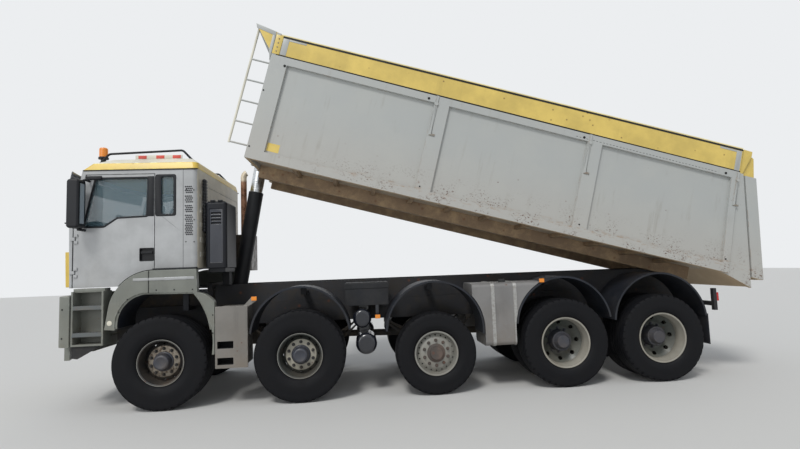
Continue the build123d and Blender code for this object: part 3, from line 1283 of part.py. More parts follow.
def tailgate():
    """Top hung tailgate with outer ribs, which rests on the sloped ends of the sides."""
    end = BODY_LONG
    inner, outer = BODY_INNER_Y - 15, BODY_HALF - 13
    outline = [(end + 115, 1440), (end + 240, 1440), (end + 570, 12), (end + 450, 12)]
    panel = body_plate(outline, -inner, inner)
    edge = [(end + 105, 1450), (end + 280, 1450), (end + 620, 20), (end + 446, 20)]
    frame = [body_plate(edge, s * inner, s * outer) for s in (1, -1)]
    pin_u, pin_v = GATE_PIN_U, GATE_PIN_V
    hinge = [(pin_u - 60, pin_v + 45), (pin_u + 110, pin_v - 40), (end + 325, 1380), (end + 280, 1440),
             (end + 115, 1445), (pin_u - 60, pin_v - 120)]
    arms = [body_plate(hinge, s * (inner - 50), s * inner) for s in (1, -1)]
    rib = [(end + 235, 1440), (end + 275, 1440), (end + 605, 12), (end + 565, 12)]
    uprights = [body_plate(rib, y - 45, y + 45) for y in GATE_RIB_YS]
    sills = [body_plate([(end + 235 + lean, 1440 - drop), (end + 275 + lean, 1440 - drop),
                         (end + 297 + lean, 1345 - drop), (end + 257 + lean, 1345 - drop)], -inner, inner)
             for lean, drop in ((0, 0), (307, 1330))]
    gate = joined([panel] + frame + arms + uprights + sills)
    gate -= across(at_u(pin_u), at_v(pin_v), GATE_PIN_R + RUN_GAP, -outer - 40, outer + 40)
    return tipped(gate)


def gate_post():
    """Post and pin at the left rear top corner that carry the tailgate."""
    pin_x, pin_z = at_u(GATE_PIN_U), at_v(GATE_PIN_V)
    front, rear = BODY_LONG + 20, BODY_LONG + 85
    y0, y1 = BODY_INNER_Y - 5, BODY_INNER_Y + 30
    post = body_plate([(front, BODY_SIDE_TOP + RUN_GAP), (rear, BODY_SIDE_TOP + RUN_GAP),
                       (GATE_PIN_U + 40, GATE_PIN_V - 30), (GATE_PIN_U + 40, GATE_PIN_V + 40),
                       (front, GATE_PIN_V + 45)], y0, y1)
    pin = across(pin_x, pin_z, GATE_PIN_R, y0 - 70, y0 + 10)
    foot = body_box(front, rear, y0, y1, BODY_SIDE_TOP - 60, BODY_SIDE_TOP + 10)
    return joined([post, pin, foot])


# Tipping cylinder, along its own axis and then leaned back

def leaned(shape):
    return Pos(CYL_X, 0, CYL_Z) * Rot(0, -CYL_LEAN, 0) * shape


def tube(r_out, r_in, z0, z1):
    outer = Pos(0, 0, (z0 + z1) / 2) * Cylinder(r_out, z1 - z0)
    if r_in <= 0:
        return outer
    return outer - Pos(0, 0, (z0 + z1) / 2) * Cylinder(r_in, z1 - z0 + 2)


def cylinder_stage(number):
    """One stage of the cylinder, counted from 0, the outer tube, to 3, the rod with its eye."""
    radius = CYL_RADII[number]
    top = CYL_TUBE + number * CYL_STEP
    if number == 0:
        body = tube(radius, CYL_RADII[1] + RUN_GAP, CYL_FOOT, top)
        foot = Pos(0, 0, CYL_FOOT / 2) * Cylinder(radius, CYL_FOOT + 2)
        pin = Rot(90, 0, 0) * Cylinder(CYL_TRUNNION_R, 360)
        return leaned(joined([body, foot, pin]))
    if number < len(CYL_RADII) - 1:
        return leaned(tube(radius, CYL_RADII[number + 1] + RUN_GAP, top - CYL_STAGE_LONG, top))
    shaft = tube(radius, 0, top - CYL_STAGE_LONG, CYL_EYE - 20)
    eye = Pos(0, 0, CYL_EYE) * Rot(90, 0, 0) * Cylinder(CYL_EYE_R, CYL_EYE_WIDE)
    return leaned(joined([shaft, eye]))


def save(name, shape):
    os.makedirs("parts", exist_ok=True)
    placed = Pos(-ORIGIN_X, 0, 0) * shape
    placed.label = name
    export_step(placed, f"parts/{name}.step")


def main():
    for number in AXLES:
        for side in ("left", "right"):
            tyre_set, rim = wheel(number, side)
            save(f"tyre_{number}_{side}", tyre_set)
            save(f"rim_{number}_{side}", rim)
            if AXLES[number]["kind"] == "steered":
                save(f"knuckle_{number}_{side}", knuckle(number, side))
    for side in ("left", "right"):
        save(f"door_{side}", door(side))
        save(f"door_glass_{side}", door_glass(side))
        save(f"mirror_{side}", mirror_unit(side))
    for number in range(len(CYL_RADII)):
        save("cylinder_tube" if number == 0 else f"cylinder_stage_{number}", cylinder_stage(number))
    whole = [chassis_frame, tipper_subframe, engine_and_gearbox, axles_and_springs, bumper, entry_steps,
             front_fenders, rear_fenders, step_boxes, fuel_tanks, battery_and_air_tanks, intake_box,
             exhaust_stack, lamps, cab_shell, cab_roof, cab_glass, front_panel, sun_visor, roof_rail, seats,
             dashboard, load_body, side_boards, body_underframe, tailgate]
    for make in whole:
        save(make.__name__, make())


main()
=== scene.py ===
import math

import bpy
from mathutils import Matrix, Vector


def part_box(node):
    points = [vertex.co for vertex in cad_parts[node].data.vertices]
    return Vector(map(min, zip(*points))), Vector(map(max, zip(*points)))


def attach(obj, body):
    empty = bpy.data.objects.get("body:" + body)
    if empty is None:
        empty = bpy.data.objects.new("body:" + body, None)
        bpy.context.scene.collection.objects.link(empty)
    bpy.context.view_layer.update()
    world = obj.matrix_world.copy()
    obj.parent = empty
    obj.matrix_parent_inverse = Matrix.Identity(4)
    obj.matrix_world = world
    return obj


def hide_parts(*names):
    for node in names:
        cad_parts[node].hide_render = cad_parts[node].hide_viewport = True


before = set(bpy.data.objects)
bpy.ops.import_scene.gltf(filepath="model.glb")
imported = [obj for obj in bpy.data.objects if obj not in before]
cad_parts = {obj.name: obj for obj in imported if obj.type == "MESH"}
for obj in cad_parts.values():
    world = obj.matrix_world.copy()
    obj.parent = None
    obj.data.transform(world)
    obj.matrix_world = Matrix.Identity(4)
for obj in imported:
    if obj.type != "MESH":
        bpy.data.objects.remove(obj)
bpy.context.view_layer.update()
bpy.ops.object.select_all(action="DESELECT")

EDGE_MARK = "edge"

# The truck stands along X with its front at +X, and +Y is its left side. Lengths are metres.
SIDES = {"left": 1.0, "right": -1.0}
TIP_REST = math.radians(15.0)
BED_CORNER = Vector((2.387, 0.0, 3.261))
BED_MATRIX = Matrix.Translation(BED_CORNER) @ Matrix.Rotation(-TIP_REST, 4, "Y")
AXLE_1 = 3.481
CAB_SIDE = 1.12
GUTTER = 3.153
BODY_SIDE = 1.275
PANEL_SIDE = 1.235
BOARD_SIDE = 1.267
STRIP_SIDE = BOARD_SIDE + 0.0105
CANOPY_SIDE = 1.190
STEERED = (1, 2)
TWIN = (4, 5)

# Colours as they show in daylight, in 0 to 255
CAB_GREY = (166, 168, 169)
BODY_GREY = (173, 176, 174)
CREAM = (214, 210, 194)
YELLOW = (222, 190, 84)
BUMPER_GREY = (116, 119, 112)
BOX_GREY = (120, 117, 112)
TANK_GREY = (122, 121, 120)
BLACK_PAINT = (24, 28, 36)
DUST = (120, 104, 84)
RUST = (112, 62, 34)
DARK_RUST = (66, 42, 28)
TYRE_BLACK = (13, 14, 18)
RIM_WHITE = (152, 149, 139)
RIM_GREY = (138, 138, 132)
HUB_GREY = (48, 53, 64)
AMBER = (242, 142, 22)
LAMP_RED = (190, 24, 24)


# Modelling

def activate(piece):
    bpy.ops.object.select_all(action="DESELECT")
    piece.select_set(True)
    bpy.context.view_layer.objects.active = piece


def named(name):
    piece = bpy.context.object
    piece.name = name
    piece.data.name = name
    return piece


def settle(piece):
    """Puts the object's place and turn into its mesh."""
    activate(piece)
    bpy.ops.object.transform_apply(location=True, rotation=True, scale=True)
    return piece


def box(name, low, high):
    """A box between two corners, ready to be shaped."""
    low, high = Vector(low), Vector(high)
    bpy.ops.mesh.primitive_cube_add(size=1.0, location=(low + high) / 2)
    piece = named(name)
    piece.scale = high - low
    return settle(piece)


def cylinder(name, middle, radius, length, axis="Z", sides=32):
    bpy.ops.mesh.primitive_cylinder_add(vertices=sides, radius=radius, depth=length, location=middle)
    piece = named(name)
    piece.rotation_euler = {"X": (0, math.pi / 2, 0), "Y": (math.pi / 2, 0, 0), "Z": (0, 0, 0)}[axis]
    return settle(piece)


def pick(piece, test):
    """Selects the faces that pass a test, and stays in edit mode."""
    activate(piece)
    bpy.ops.object.mode_set(mode="EDIT")
    bpy.ops.mesh.select_mode(type="FACE")
    bpy.ops.mesh.select_all(action="DESELECT")
    bpy.ops.object.mode_set(mode="OBJECT")
    for face in piece.data.polygons:
        face.select = bool(test(face))
    bpy.ops.object.mode_set(mode="EDIT")


def leave():
    bpy.ops.object.mode_set(mode="OBJECT")


def enter(piece):
    """Edit mode with the whole mesh selected."""
    activate(piece)
    bpy.ops.object.mode_set(mode="EDIT")
    bpy.ops.mesh.select_all(action="SELECT")


def modify(piece, kind, **values):
    activate(piece)
    modifier = piece.modifiers.new(kind.title(), kind)
    for key, value in values.items():
        setattr(modifier, key, value)
    bpy.ops.object.modifier_apply(modifier=modifier.name)
    return piece


def bevel(piece, width, segments=2, angle=30.0, slot=-1, clamp=True):
    return modify(piece, "BEVEL", width=width, segments=segments, limit_method="ANGLE", material=slot,
                  angle_limit=math.radians(angle), harden_normals=False, miter_outer="MITER_ARC",
                  use_clamp_overlap=clamp, loop_slide=False)


def smooth(piece, angle=35.0):
    activate(piece)
    bpy.ops.object.shade_smooth_by_angle(angle=math.radians(angle))
    return piece


def flush_normals(piece):
    """Closes the mesh's seams and turns all its faces outwards."""
    enter(piece)
    bpy.ops.mesh.remove_doubles(threshold=1e-5)
    bpy.ops.mesh.normals_make_consistent(inside=False)
    leave()
    return piece


def joined(name, pieces):
    activate(pieces[0])
    for piece in pieces[1:]:
        piece.select_set(True)
    if len(pieces) > 1:
        bpy.ops.object.join()
    return named(name)


def duplicate(piece, offset=(0, 0, 0), turn=None):
    """A copy with its own mesh, moved and turned about the origin before it is settled."""
    copy = piece.copy()
    copy.data = piece.data.copy()
    bpy.context.scene.collection.objects.link(copy)
    matrix = Matrix.Translation(Vector(offset))
    copy.data.transform(matrix @ (turn or Matrix.Identity(4)))
    return copy


def mirrored(piece, name):
    """The same piece on the truck's other side."""
    copy = duplicate(piece)
    copy.name = name
    copy.data.name = name
    copy.data.transform(Matrix.Scale(-1.0, 4, (0, 1, 0)))
    enter(copy)
    bpy.ops.mesh.flip_normals()
    leave()
    return copy


def thread(name, points):
    """Joins points to an open chain of edges, and stays in edit mode."""
    points = [Vector(point) for point in points]
    bpy.ops.mesh.primitive_plane_add(size=0.01, location=(0, 0, 0))
    piece = named(name)
    bpy.ops.object.mode_set(mode="EDIT")
    bpy.ops.mesh.select_mode(type="VERT")
    bpy.ops.mesh.select_all(action="SELECT")
    bpy.ops.mesh.merge(type="CENTER")
    bpy.ops.transform.translate(value=points[0])
    for here, there in zip(points, points[1:]):
        bpy.ops.mesh.extrude_vertices_move(TRANSFORM_OT_translate={"value": there - here})
    bpy.ops.mesh.select_all(action="SELECT")
    return piece


def plate(name, points, near, far, edge=0.0):
    """A plate cut to an outline of (x, z) points, from one depth along Y to another."""
    piece = thread(name, [(x, near, z) for x, z in points])
    bpy.ops.mesh.edge_face_add()
    bpy.ops.mesh.extrude_region_move(TRANSFORM_OT_translate={"value": (0, far - near, 0)})
    leave()
    flush_normals(piece)
    return smooth(worn_edges(piece, edge)) if edge else piece


def rounded(points, radius, steps=4):
    """The same outline with its corners turned into short arcs."""
    out = []
    points = [Vector(point) for point in points]
    for before, at, after in zip(points[-1:] + points[:-1], points, points[1:] + points[:1]):
        start = at + (before - at).normalized() * radius
        stop = at + (after - at).normalized() * radius
        for i in range(steps + 1):
            t = i / steps
            out.append(tuple(start * (1 - t) ** 2 + at * 2 * t * (1 - t) + stop * t ** 2))
    return out


def grown(points, by):
    """The same outline moved outwards; its points run either way round."""
    points = [Vector(point) for point in points]
    pairs = list(zip(points, points[1:] + points[:1]))
    turn = 1.0 if sum(a.x * b.y - b.x * a.y for a, b in pairs) > 0 else -1.0
    normals = [Vector((b.y - a.y, a.x - b.x)).normalized() * turn for a, b in pairs]
    out = []
    for i, at in enumerate(points):
        before, after = normals[i - 1], normals[i]
        out.append(tuple(at + (before + after) * by / (1.0 + before.dot(after))))
    return out


def rectangle(x0, x1, z0, z1):
    return [(x0, z0), (x1, z0), (x1, z1), (x0, z1)]


def seal(name, opening, outer, inner, near, far, radius=0.02):
    """A moulded frame around an opening."""
    piece = plate(name, rounded(grown(opening, outer), radius), near, far)
    cut(piece, plate("hole", rounded(grown(opening, inner), radius), near - 0.01, far + 0.01))
    return smooth(bevel(piece, 0.003, 2))


def block(name, low, high, edge=0.003):
    """A box with broken edges."""
    return smooth(worn_edges(box(name, low, high), edge))


def fore_block(name, low, high, edge=0.003):
    """A block whose X values count from the first axle."""
    ahead = Vector((AXLE_1, 0, 0))
    return block(name, ahead + Vector(low), ahead + Vector(high), edge)


def studs(name, places, depth, radius, high, sides=14):
    """Round heads on a side wall, at (x, z) places."""
    heads = []
    for x, z in places:
        head = cylinder("head", (x, depth + high / 2, z), radius, high + 0.002, "Y", sides)
        heads.append(bevel(head, min(high, radius) * 0.35, 2))
    return smooth(joined(name, heads))


def turned(name, outline, steps, closed=True):
    """Spins an outline of (y, radius) points about the Y axis."""
    points = [(0, y, radius) for y, radius in outline]
    piece = thread(name, points + points[:1] if closed else points)
    bpy.ops.mesh.remove_doubles(threshold=1e-6)
    bpy.ops.mesh.select_all(action="SELECT")
    bpy.ops.mesh.spin(steps=steps, angle=2 * math.pi, center=(0, 0, 0), axis=(0, 1, 0))
    leave()
    return flush_normals(piece)


def ring_of(name, piece, count, phase=0.0):
    """Copies of a piece set around the Y axis, joined to one mesh."""
    copies = [duplicate(piece, turn=Matrix.Rotation(phase + 2 * math.pi * i / count, 4, "Y"))
              for i in range(count)]
    bpy.data.objects.remove(piece)
    return joined(name, copies)


def cut(piece, cutter):
    modify(piece, "BOOLEAN", operation="DIFFERENCE", object=cutter, solver="EXACT")
    bpy.data.objects.remove(cutter)
    return piece


def softened(node, width, segments=2, clamp=False):
    """A copy of a construction piece with its edges broken, as paint and sheet metal have them."""
    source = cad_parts[node]
    piece = source.copy()
    piece.data = source.data.copy()
    piece.parent = None
    for key in list(piece.keys()):
        del piece[key]
    bpy.context.scene.collection.objects.link(piece)
    piece.name = node + "_finish"
    piece.data.name = piece.name
    activate(piece)
    bpy.ops.mesh.customdata_custom_splitnormals_clear()
    enter(piece)
    bpy.ops.mesh.remove_doubles(threshold=2e-5)
    bpy.ops.mesh.select_all(action="SELECT")
    bpy.ops.mesh.dissolve_limited(angle_limit=math.radians(1.0))
    bpy.ops.mesh.select_all(action="SELECT")
    bpy.ops.mesh.vert_connect_concave()
    leave()
    if width:
        worn_edges(piece, width, segments, clamp)
        held_to(piece, source, width * 1.6)
    smooth(piece)
    modify(piece, "WEIGHTED_NORMAL", keep_sharp=True)
    return piece


def held_to(piece, source, reach):
    """Draws corners that the bevel threw off a thin sliver back onto the construction piece."""
    stray = [v.index for v in piece.data.vertices
             if (source.closest_point_on_mesh(v.co)[1] - v.co).length > reach]
    if stray:
        group = piece.vertex_groups.new(name="stray")
        group.add(stray, 1.0, "REPLACE")
        modify(piece, "SHRINKWRAP", target=source, wrap_method="NEAREST_SURFACEPOINT", vertex_group="stray")
        piece.vertex_groups.clear()
    return piece


def worn_edges(piece, width, segments=2, clamp=False):
    """Breaks the edges and marks the new narrow faces, where paint wears through first."""
    piece.data.materials.clear()
    for slot in range(2):
        piece.data.materials.append(None)
    bevel(piece, width, segments, slot=1, clamp=clamp)
    marks = piece.data.attributes.new(EDGE_MARK, "FLOAT", "FACE")
    for face, mark in zip(piece.data.polygons, marks.data):
        mark.value = float(face.material_index == 1)
        face.material_index = 0
    return piece


def paint(piece, finish, test):
    """Gives the faces that pass a test another finish."""
    piece.data.materials.append(MATERIALS[finish])
    index = len(piece.data.materials) - 1
    for face in piece.data.polygons:
        if test(face):
            face.material_index = index
    return piece


def bed_place(point):
    """Place along the load body: back from its front wall, and up from its lower edge."""
    away = point - BED_CORNER
    cos, sin = math.cos(TIP_REST), math.sin(TIP_REST)
    return -away.x * cos - away.z * sin, -away.x * sin + away.z * cos


def both_sides(piece, body, material):
    """Finishes a left piece and its mirrored twin; a body's side is left open with {}."""
    label = piece.name
    other = mirrored(piece, label + "_right")
    piece.name = label + "_left"
    for side, one in (("left", piece), ("right", other)):
        finished(one, body.format(side), material)
    return piece, other


def on_bed(piece):
    """Turns what was built with X = -u and Z = v to its place on the raised body."""
    piece.data.transform(BED_MATRIX)
    return piece


def bed_sides(piece, material):
    """Puts a piece that was laid out level on both sides of the raised body."""
    return both_sides(on_bed(piece), "bed", material)


def finished(piece, body, material, *nodes):
    """Gives a piece its material, sets it on its body, and hides the construction pieces it stands for."""
    piece.data.materials.clear()
    piece.data.materials.append(MATERIALS[material])
    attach(piece, body)
    if nodes:
        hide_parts(*nodes)
    return piece


# Materials

def linear(colour):
    """Daylight colour, 0 to 255, as the shader wants it."""
    parts = [c / 255.0 for c in colour]
    return tuple(c / 12.92 if c <= 0.04045 else ((c + 0.055) / 1.055) ** 2.4 for c in parts) + (1.0,)


def shade(colour, factor, lift=0):
    """A colour made lighter or darker."""
    return [min(c * factor + lift, 255) for c in colour]


class Nodes:
    """Short way to lay and link shader nodes in one tree."""

    def __init__(self, tree):
        self.tree = tree

    def add(self, kind, **values):
        node = self.tree.nodes.new(kind)
        for key, value in values.items():
            setattr(node, key, value)
        return node

    def link(self, start, end):
        self.tree.links.new(start, end)

    def feed(self, socket, value):
        if isinstance(value, bpy.types.NodeSocket):
            self.link(value, socket)
        else:
            socket.default_value = value

    def math(self, operation, a, b=0.0, clamp=False):
        node = self.add("ShaderNodeMath", operation=operation, use_clamp=clamp)
        self.feed(node.inputs[0], a)
        self.feed(node.inputs[1], b)
        return node.outputs[0]

    def times(self, a, b, clamp=False):
        return self.math("MULTIPLY", a, b, clamp)

    def plus(self, a, b, clamp=False):
        return self.math("ADD", a, b, clamp)

    def between(self, value, low, high):
        node = self.add("ShaderNodeMapRange", interpolation_type="SMOOTHSTEP")
        self.feed(node.inputs["Value"], value)
        self.feed(node.inputs["From Min"], low)
        self.feed(node.inputs["From Max"], high)
        return node.outputs["Result"]

    def mix(self, factor, *colours):
        """Mixes two colours, each given by a socket or as it shows in daylight."""
        node = self.add("ShaderNodeMix", data_type="RGBA")
        self.feed(node.inputs[0], factor)
        for socket, colour in zip(node.inputs[6:8], colours):
            self.feed(socket, colour if isinstance(colour, bpy.types.NodeSocket) else linear(colour))
        return node.outputs[2]

    def film(self, base, mask, share, colour):
        """Lays a share of a colour over the base where the mask shows."""
        return self.mix(self.times(mask, share), base, colour)

    def split(self, vector):
        node = self.add("ShaderNodeSeparateXYZ")
        self.link(vector, node.inputs[0])
        return node.outputs

    def bands(self, vector, axis, scale):
        node = self.add("ShaderNodeTexWave", wave_type="BANDS", bands_direction=axis)
        self.link(vector, node.inputs["Vector"])
        node.inputs["Scale"].default_value = scale
        return node.outputs["Fac"]

    def noise(self, vector, scale, detail=4.0, roughness=0.6):
        node = self.add("ShaderNodeTexNoise")
        self.feed(node.inputs["Vector"], vector)
        self.feed(node.inputs["Scale"], scale)
        node.inputs["Detail"].default_value = detail
        node.inputs["Roughness"].default_value = roughness
        return node.outputs["Fac"]

    def stretched(self, vector, scale):
        node = self.add("ShaderNodeVectorMath", operation="MULTIPLY")
        self.feed(node.inputs[0], vector)
        node.inputs[1].default_value = scale
        return node.outputs[0]


def new_group(name, inputs, outputs):
    """An empty node group with its sockets; inputs and outputs are (name, kind, default)."""
    group = bpy.data.node_groups.new(name, "ShaderNodeTree")
    for label, kind, value in inputs:
        socket = group.interface.new_socket(label, in_out="INPUT", socket_type=kind)
        if value is not None:
            socket.default_value = value
    for label, kind in outputs:
        group.interface.new_socket(label, in_out="OUTPUT", socket_type=kind)
    nodes = Nodes(group)
    return group, nodes, nodes.add("NodeGroupInput").outputs, nodes.add("NodeGroupOutput").inputs


FLOAT, VECTOR = "NodeSocketFloat", "NodeSocketVector"


def dirt_group():
    """Dust that settles low on the truck, broken up by noise."""
    group, n, given, out = new_group(
        "settled_dust",
        [("Vector", VECTOR, None), ("Low", FLOAT, 0.3), ("High", FLOAT, 1.4), ("Scale", FLOAT, 3.0)],
        [("Mask", FLOAT)])
    height = n.between(n.split(given["Vector"])["Z"], given["High"], given["Low"])
    patches = n.noise(given["Vector"], given["Scale"], 6.0, 0.65)
    fine = n.noise(given["Vector"], 42.0, 3.0, 0.7)
    cloud = n.plus(n.times(patches, 1.1), n.times(fine, 0.35))
    n.link(n.times(height, n.between(cloud, 0.5, 1.0), clamp=True), out["Mask"])
    return group


def chip_group():
    """Small chips in paint: rare round spots whose size varies."""
    group, n, given, out = new_group(
        "paint_chips",
        [("Vector", VECTOR, None), ("Scale", FLOAT, 18.0), ("Share", FLOAT, 0.3), ("Size", FLOAT, 0.1)],
        [("Mask", FLOAT), ("Halo", FLOAT)])
    cells = n.add("ShaderNodeTexVoronoi")
    n.link(given["Vector"], cells.inputs["Vector"])
    n.link(given["Scale"], cells.inputs["Scale"])
    pick_cell = n.add("ShaderNodeSeparateColor")
    n.link(cells.outputs["Color"], pick_cell.inputs[0])
    chosen = n.math("LESS_THAN", pick_cell.outputs[0], given["Share"])
    edge = n.times(n.noise(given["Vector"], 60.0, 2.0), 0.12)
    distance = n.plus(cells.outputs["Distance"], edge)
    size = n.times(given["Size"], n.plus(pick_cell.outputs[1], 0.4))
    spot = n.math("LESS_THAN", distance, n.plus(size, 0.05))
    halo = n.between(distance, n.times(size, 4.0), size)
    n.link(n.times(chosen, spot), out["Mask"])
    n.link(n.times(chosen, halo), out["Halo"])
    return group


def streak_group():
    """Dirt and rust runs that follow gravity down a panel."""
    group, n, given, out = new_group(
        "runs", [("Vector", VECTOR, None), ("Scale", FLOAT, 6.0), ("Share", FLOAT, 0.5)], [("Mask", FLOAT)])
    drawn = n.stretched(given["Vector"], (1.0, 1.0, 0.06))
    wide = n.noise(drawn, given["Scale"], 5.0, 0.7)
    broken = n.noise(given["Vector"], 2.2, 3.0, 0.6)
    lines = n.between(wide, given["Share"], n.plus(given["Share"], 0.12))
    n.link(n.times(lines, n.between(broken, 0.45, 0.7), clamp=True), out["Mask"])
    return group


def grain_group():
    """Fine unevenness of a surface, for bump and roughness."""
    group, n, given, out = new_group(
        "grain", [("Vector", VECTOR, None), ("Scale", FLOAT, 90.0)], [("Fine", FLOAT), ("Broad", FLOAT)])
    n.link(n.noise(given["Vector"], given["Scale"], 3.0, 0.55), out["Fine"])
    n.link(n.noise(given["Vector"], 2.6, 4.0, 0.6), out["Broad"])
    return group


def wear_group():
    """Bare edges where paint has worn through, in patches along the broken edges."""
    group, n, given, out = new_group(
        "edge_wear", [("Vector", VECTOR, None), ("Start", FLOAT, 0.5), ("Scale", FLOAT, 9.0)],
        [("Mask", FLOAT)])
    mark = n.add("ShaderNodeAttribute", attribute_name=EDGE_MARK)
    patchy = n.noise(given["Vector"], given["Scale"], 5.0, 0.7)
    worn = n.between(patchy, given["Start"], n.plus(given["Start"], 0.08))
    n.link(n.times(mark.outputs["Fac"], worn), out["Mask"])
    return group


GROUPS = {"dust": dirt_group(), "chips": chip_group(), "runs": streak_group(), "grain": grain_group(),
          "wear": wear_group()}


def use(nodes, group, **values):
    node = nodes.add("ShaderNodeGroup", node_tree=GROUPS[group])
    for key, value in values.items():
        nodes.feed(node.inputs[key], value)
    return node.outputs


def start_material(name, level=False):
    """An empty material with its Principled shader and the place vector that patterns read."""
    material = bpy.data.materials.new(name)
    material.use_nodes = True
    nodes = Nodes(material.node_tree)
    shader = material.node_tree.nodes["Principled BSDF"]
    place = nodes.add("ShaderNodeTexCoord").outputs["Object"]
    if level:
        turn = nodes.add("ShaderNodeMapping", vector_type="TEXTURE")
        turn.inputs["Location"].default_value = BED_CORNER
        turn.inputs["Rotation"].default_value = (0, -TIP_REST, 0)
        nodes.link(place, turn.inputs["Vector"])
        place = turn.outputs["Vector"]
    return material, nodes, shader, place


def bump(nodes, shader, height, strength, distance=0.002):
    node = nodes.add("ShaderNodeBump")
    node.inputs["Strength"].default_value = strength
    node.inputs["Distance"].default_value = distance
    nodes.link(height, node.inputs["Height"])
    nodes.link(node.outputs["Normal"], shader.inputs["Normal"])


def painted(name, colour, roughness=0.42, dust=(0.3, 1.3), dust_share=0.5, chips=0.05, level=False,
            coat=0.15, wear=0.5, runs=0.25, dust_colour=DUST):
    """Sheet metal paint with settled dust, runs, chips and worn edges."""
    material, n, shader, place = start_material(name, level)
    grain = use(n, "grain", Vector=place)
    base = n.mix(n.between(grain["Broad"], 0.3, 0.7), shade(colour, 0.94), shade(colour, 1.04))
    soil = use(n, "dust", Vector=place, Low=dust[0], High=dust[1])["Mask"]
    base = n.film(base, soil, dust_share, dust_colour)
    run = use(n, "runs", Vector=place)["Mask"]
    base = n.film(base, run, runs, shade(colour, 0.62))
    chip = use(n, "chips", Vector=place, Share=chips)
    base = n.film(base, chip["Halo"], 0.35, RUST)
    base = n.mix(chip["Mask"], base, DARK_RUST)
    edge = use(n, "wear", Vector=place)["Mask"]
    base = n.film(base, edge, wear, shade(colour, 1.25, 12))
    n.link(base, shader.inputs["Base Color"])
    rough = n.plus(roughness, n.times(soil, 0.4))
    rough = n.plus(rough, n.times(n.math("SUBTRACT", grain["Broad"], 0.5), 0.2), clamp=True)
    n.link(rough, shader.inputs["Roughness"])
    shader.inputs["Coat Weight"].default_value = coat
    shader.inputs["Coat Roughness"].default_value = 0.25
    bump(n, shader, n.plus(n.times(grain["Fine"], 0.25), n.times(chip["Mask"], -0.8)), 0.25)
    return material


def body_paint():
    """Load body: pale grey paint, rust along the lower rail, runs and chips, dull and dusty low down."""
    material, n, shader, place = start_material("body_paint", level=True)
    grain = use(n, "grain", Vector=place)
    along, _, height = n.split(place)
    base = n.mix(n.between(height, 0.1, 1.0), (176, 175, 170), BODY_GREY)
    base = n.film(base, n.between(grain["Broad"], 0.35, 0.75), 0.3, (183, 184, 178))
    run = use(n, "runs", Vector=place, Scale=9.0, Share=0.52)["Mask"]
    base = n.film(base, run, 0.28, (132, 124, 110))
    chip = use(n, "chips", Vector=place, Scale=11.0, Share=0.11, Size=0.07)
    low = n.between(height, 1.2, 0.2)
    base = n.film(base, n.times(chip["Halo"], low), 0.4, RUST)
    base = n.mix(n.times(chip["Mask"], n.plus(low, 0.25)), base, DARK_RUST)
    rail_line = n.times(n.between(height, 0.06, 0.115), n.between(height, 0.2, 0.135))
    patches = n.between(n.noise(n.stretched(place, (1.0, 1.0, 3.0)), 7.0, 7.0, 0.75), 0.5, 0.62)
    back = n.between(along, -0.6, -1.9)
    rusted = n.times(n.times(rail_line, patches), back)
    base = n.film(base, rusted, 0.5, (156, 124, 94))
    spots = n.between(n.noise(n.stretched(place, (1.0, 1.0, 1.6)), 30.0, 4.0, 0.7), 0.555, 0.605)
    near_rail = n.times(n.between(height, 0.5, 0.12), n.between(along, -0.4, -2.0))
    scattered = n.between(n.noise(place, 3.2, 4.0, 0.6), 0.45, 0.57)
    spotted = n.times(n.times(spots, near_rail), scattered, clamp=True)
    base = n.film(base, spotted, 0.85, (88, 54, 34))
    facing = n.add("ShaderNodeNewGeometry")
    level = n.split(facing.outputs["True Normal"])["Z"]
    under = n.times(n.between(level, -0.5, -0.85), n.between(height, 0.09, 0.03))
    mud = n.mix(n.noise(place, 3.0, 6.0, 0.7), (174, 150, 118), (208, 186, 152))
    base = n.mix(under, base, mud)
    edge = use(n, "wear", Vector=place)["Mask"]
    base = n.film(base, edge, 0.5, (150, 120, 92))
    n.link(base, shader.inputs["Base Color"])
    rough = n.plus(0.42, n.times(rusted, 0.4))
    n.link(n.plus(rough, n.times(under, 0.4), clamp=True), shader.inputs["Roughness"])
    dents = n.noise(place, 1.4, 2.0, 0.5)
    bump(n, shader, n.plus(n.times(grain["Fine"], 0.1), n.times(dents, 2.0)), 0.35, 0.004)
    return material


def mud_metal(name, colour, dusty, share=0.65, roughness=0.7, level=False):
    """Chassis metal: dark paint under a film of dried mud."""
    material, n, shader, place = start_material(name, level)
    grain = use(n, "grain", Vector=place, Scale=45.0)
    film = n.between(n.noise(place, 4.5, 7.0, 0.7), 0.42, 0.68)
    base = n.mix(n.times(film, share), colour, dusty)
    chip = use(n, "chips", Vector=place, Scale=14.0, Share=0.2)
    base = n.film(base, chip["Halo"], 0.5, RUST)
    n.link(base, shader.inputs["Base Color"])
    n.link(n.plus(roughness, n.times(film, 0.2), clamp=True), shader.inputs["Roughness"])
    bump(n, shader, n.plus(n.times(grain["Fine"], 0.6), film), 0.3)
    return material


def plastic(name, colour, roughness=0.5, dust_share=0.25, grain_size=160.0):
    """Moulded plastic with a fine grain and grey dust."""
    material, n, shader, place = start_material(name)
    grain = use(n, "grain", Vector=place, Scale=grain_size)
    soil = use(n, "dust", Vector=place, Low=0.2, High=2.4)["Mask"]
    base = n.mix(n.between(grain["Broad"], 0.3, 0.7), shade(colour, 0.85), shade(colour, 1.15))
    base = n.film(base, soil, dust_share, (104, 99, 92))
    n.link(base, shader.inputs["Base Color"])
    n.link(n.plus(roughness, n.times(soil, 0.3), clamp=True), shader.inputs["Roughness"])
    shader.inputs["Specular IOR Level"].default_value = 0.3
    bump(n, shader, grain["Fine"], 0.2, 0.0008)
    return material


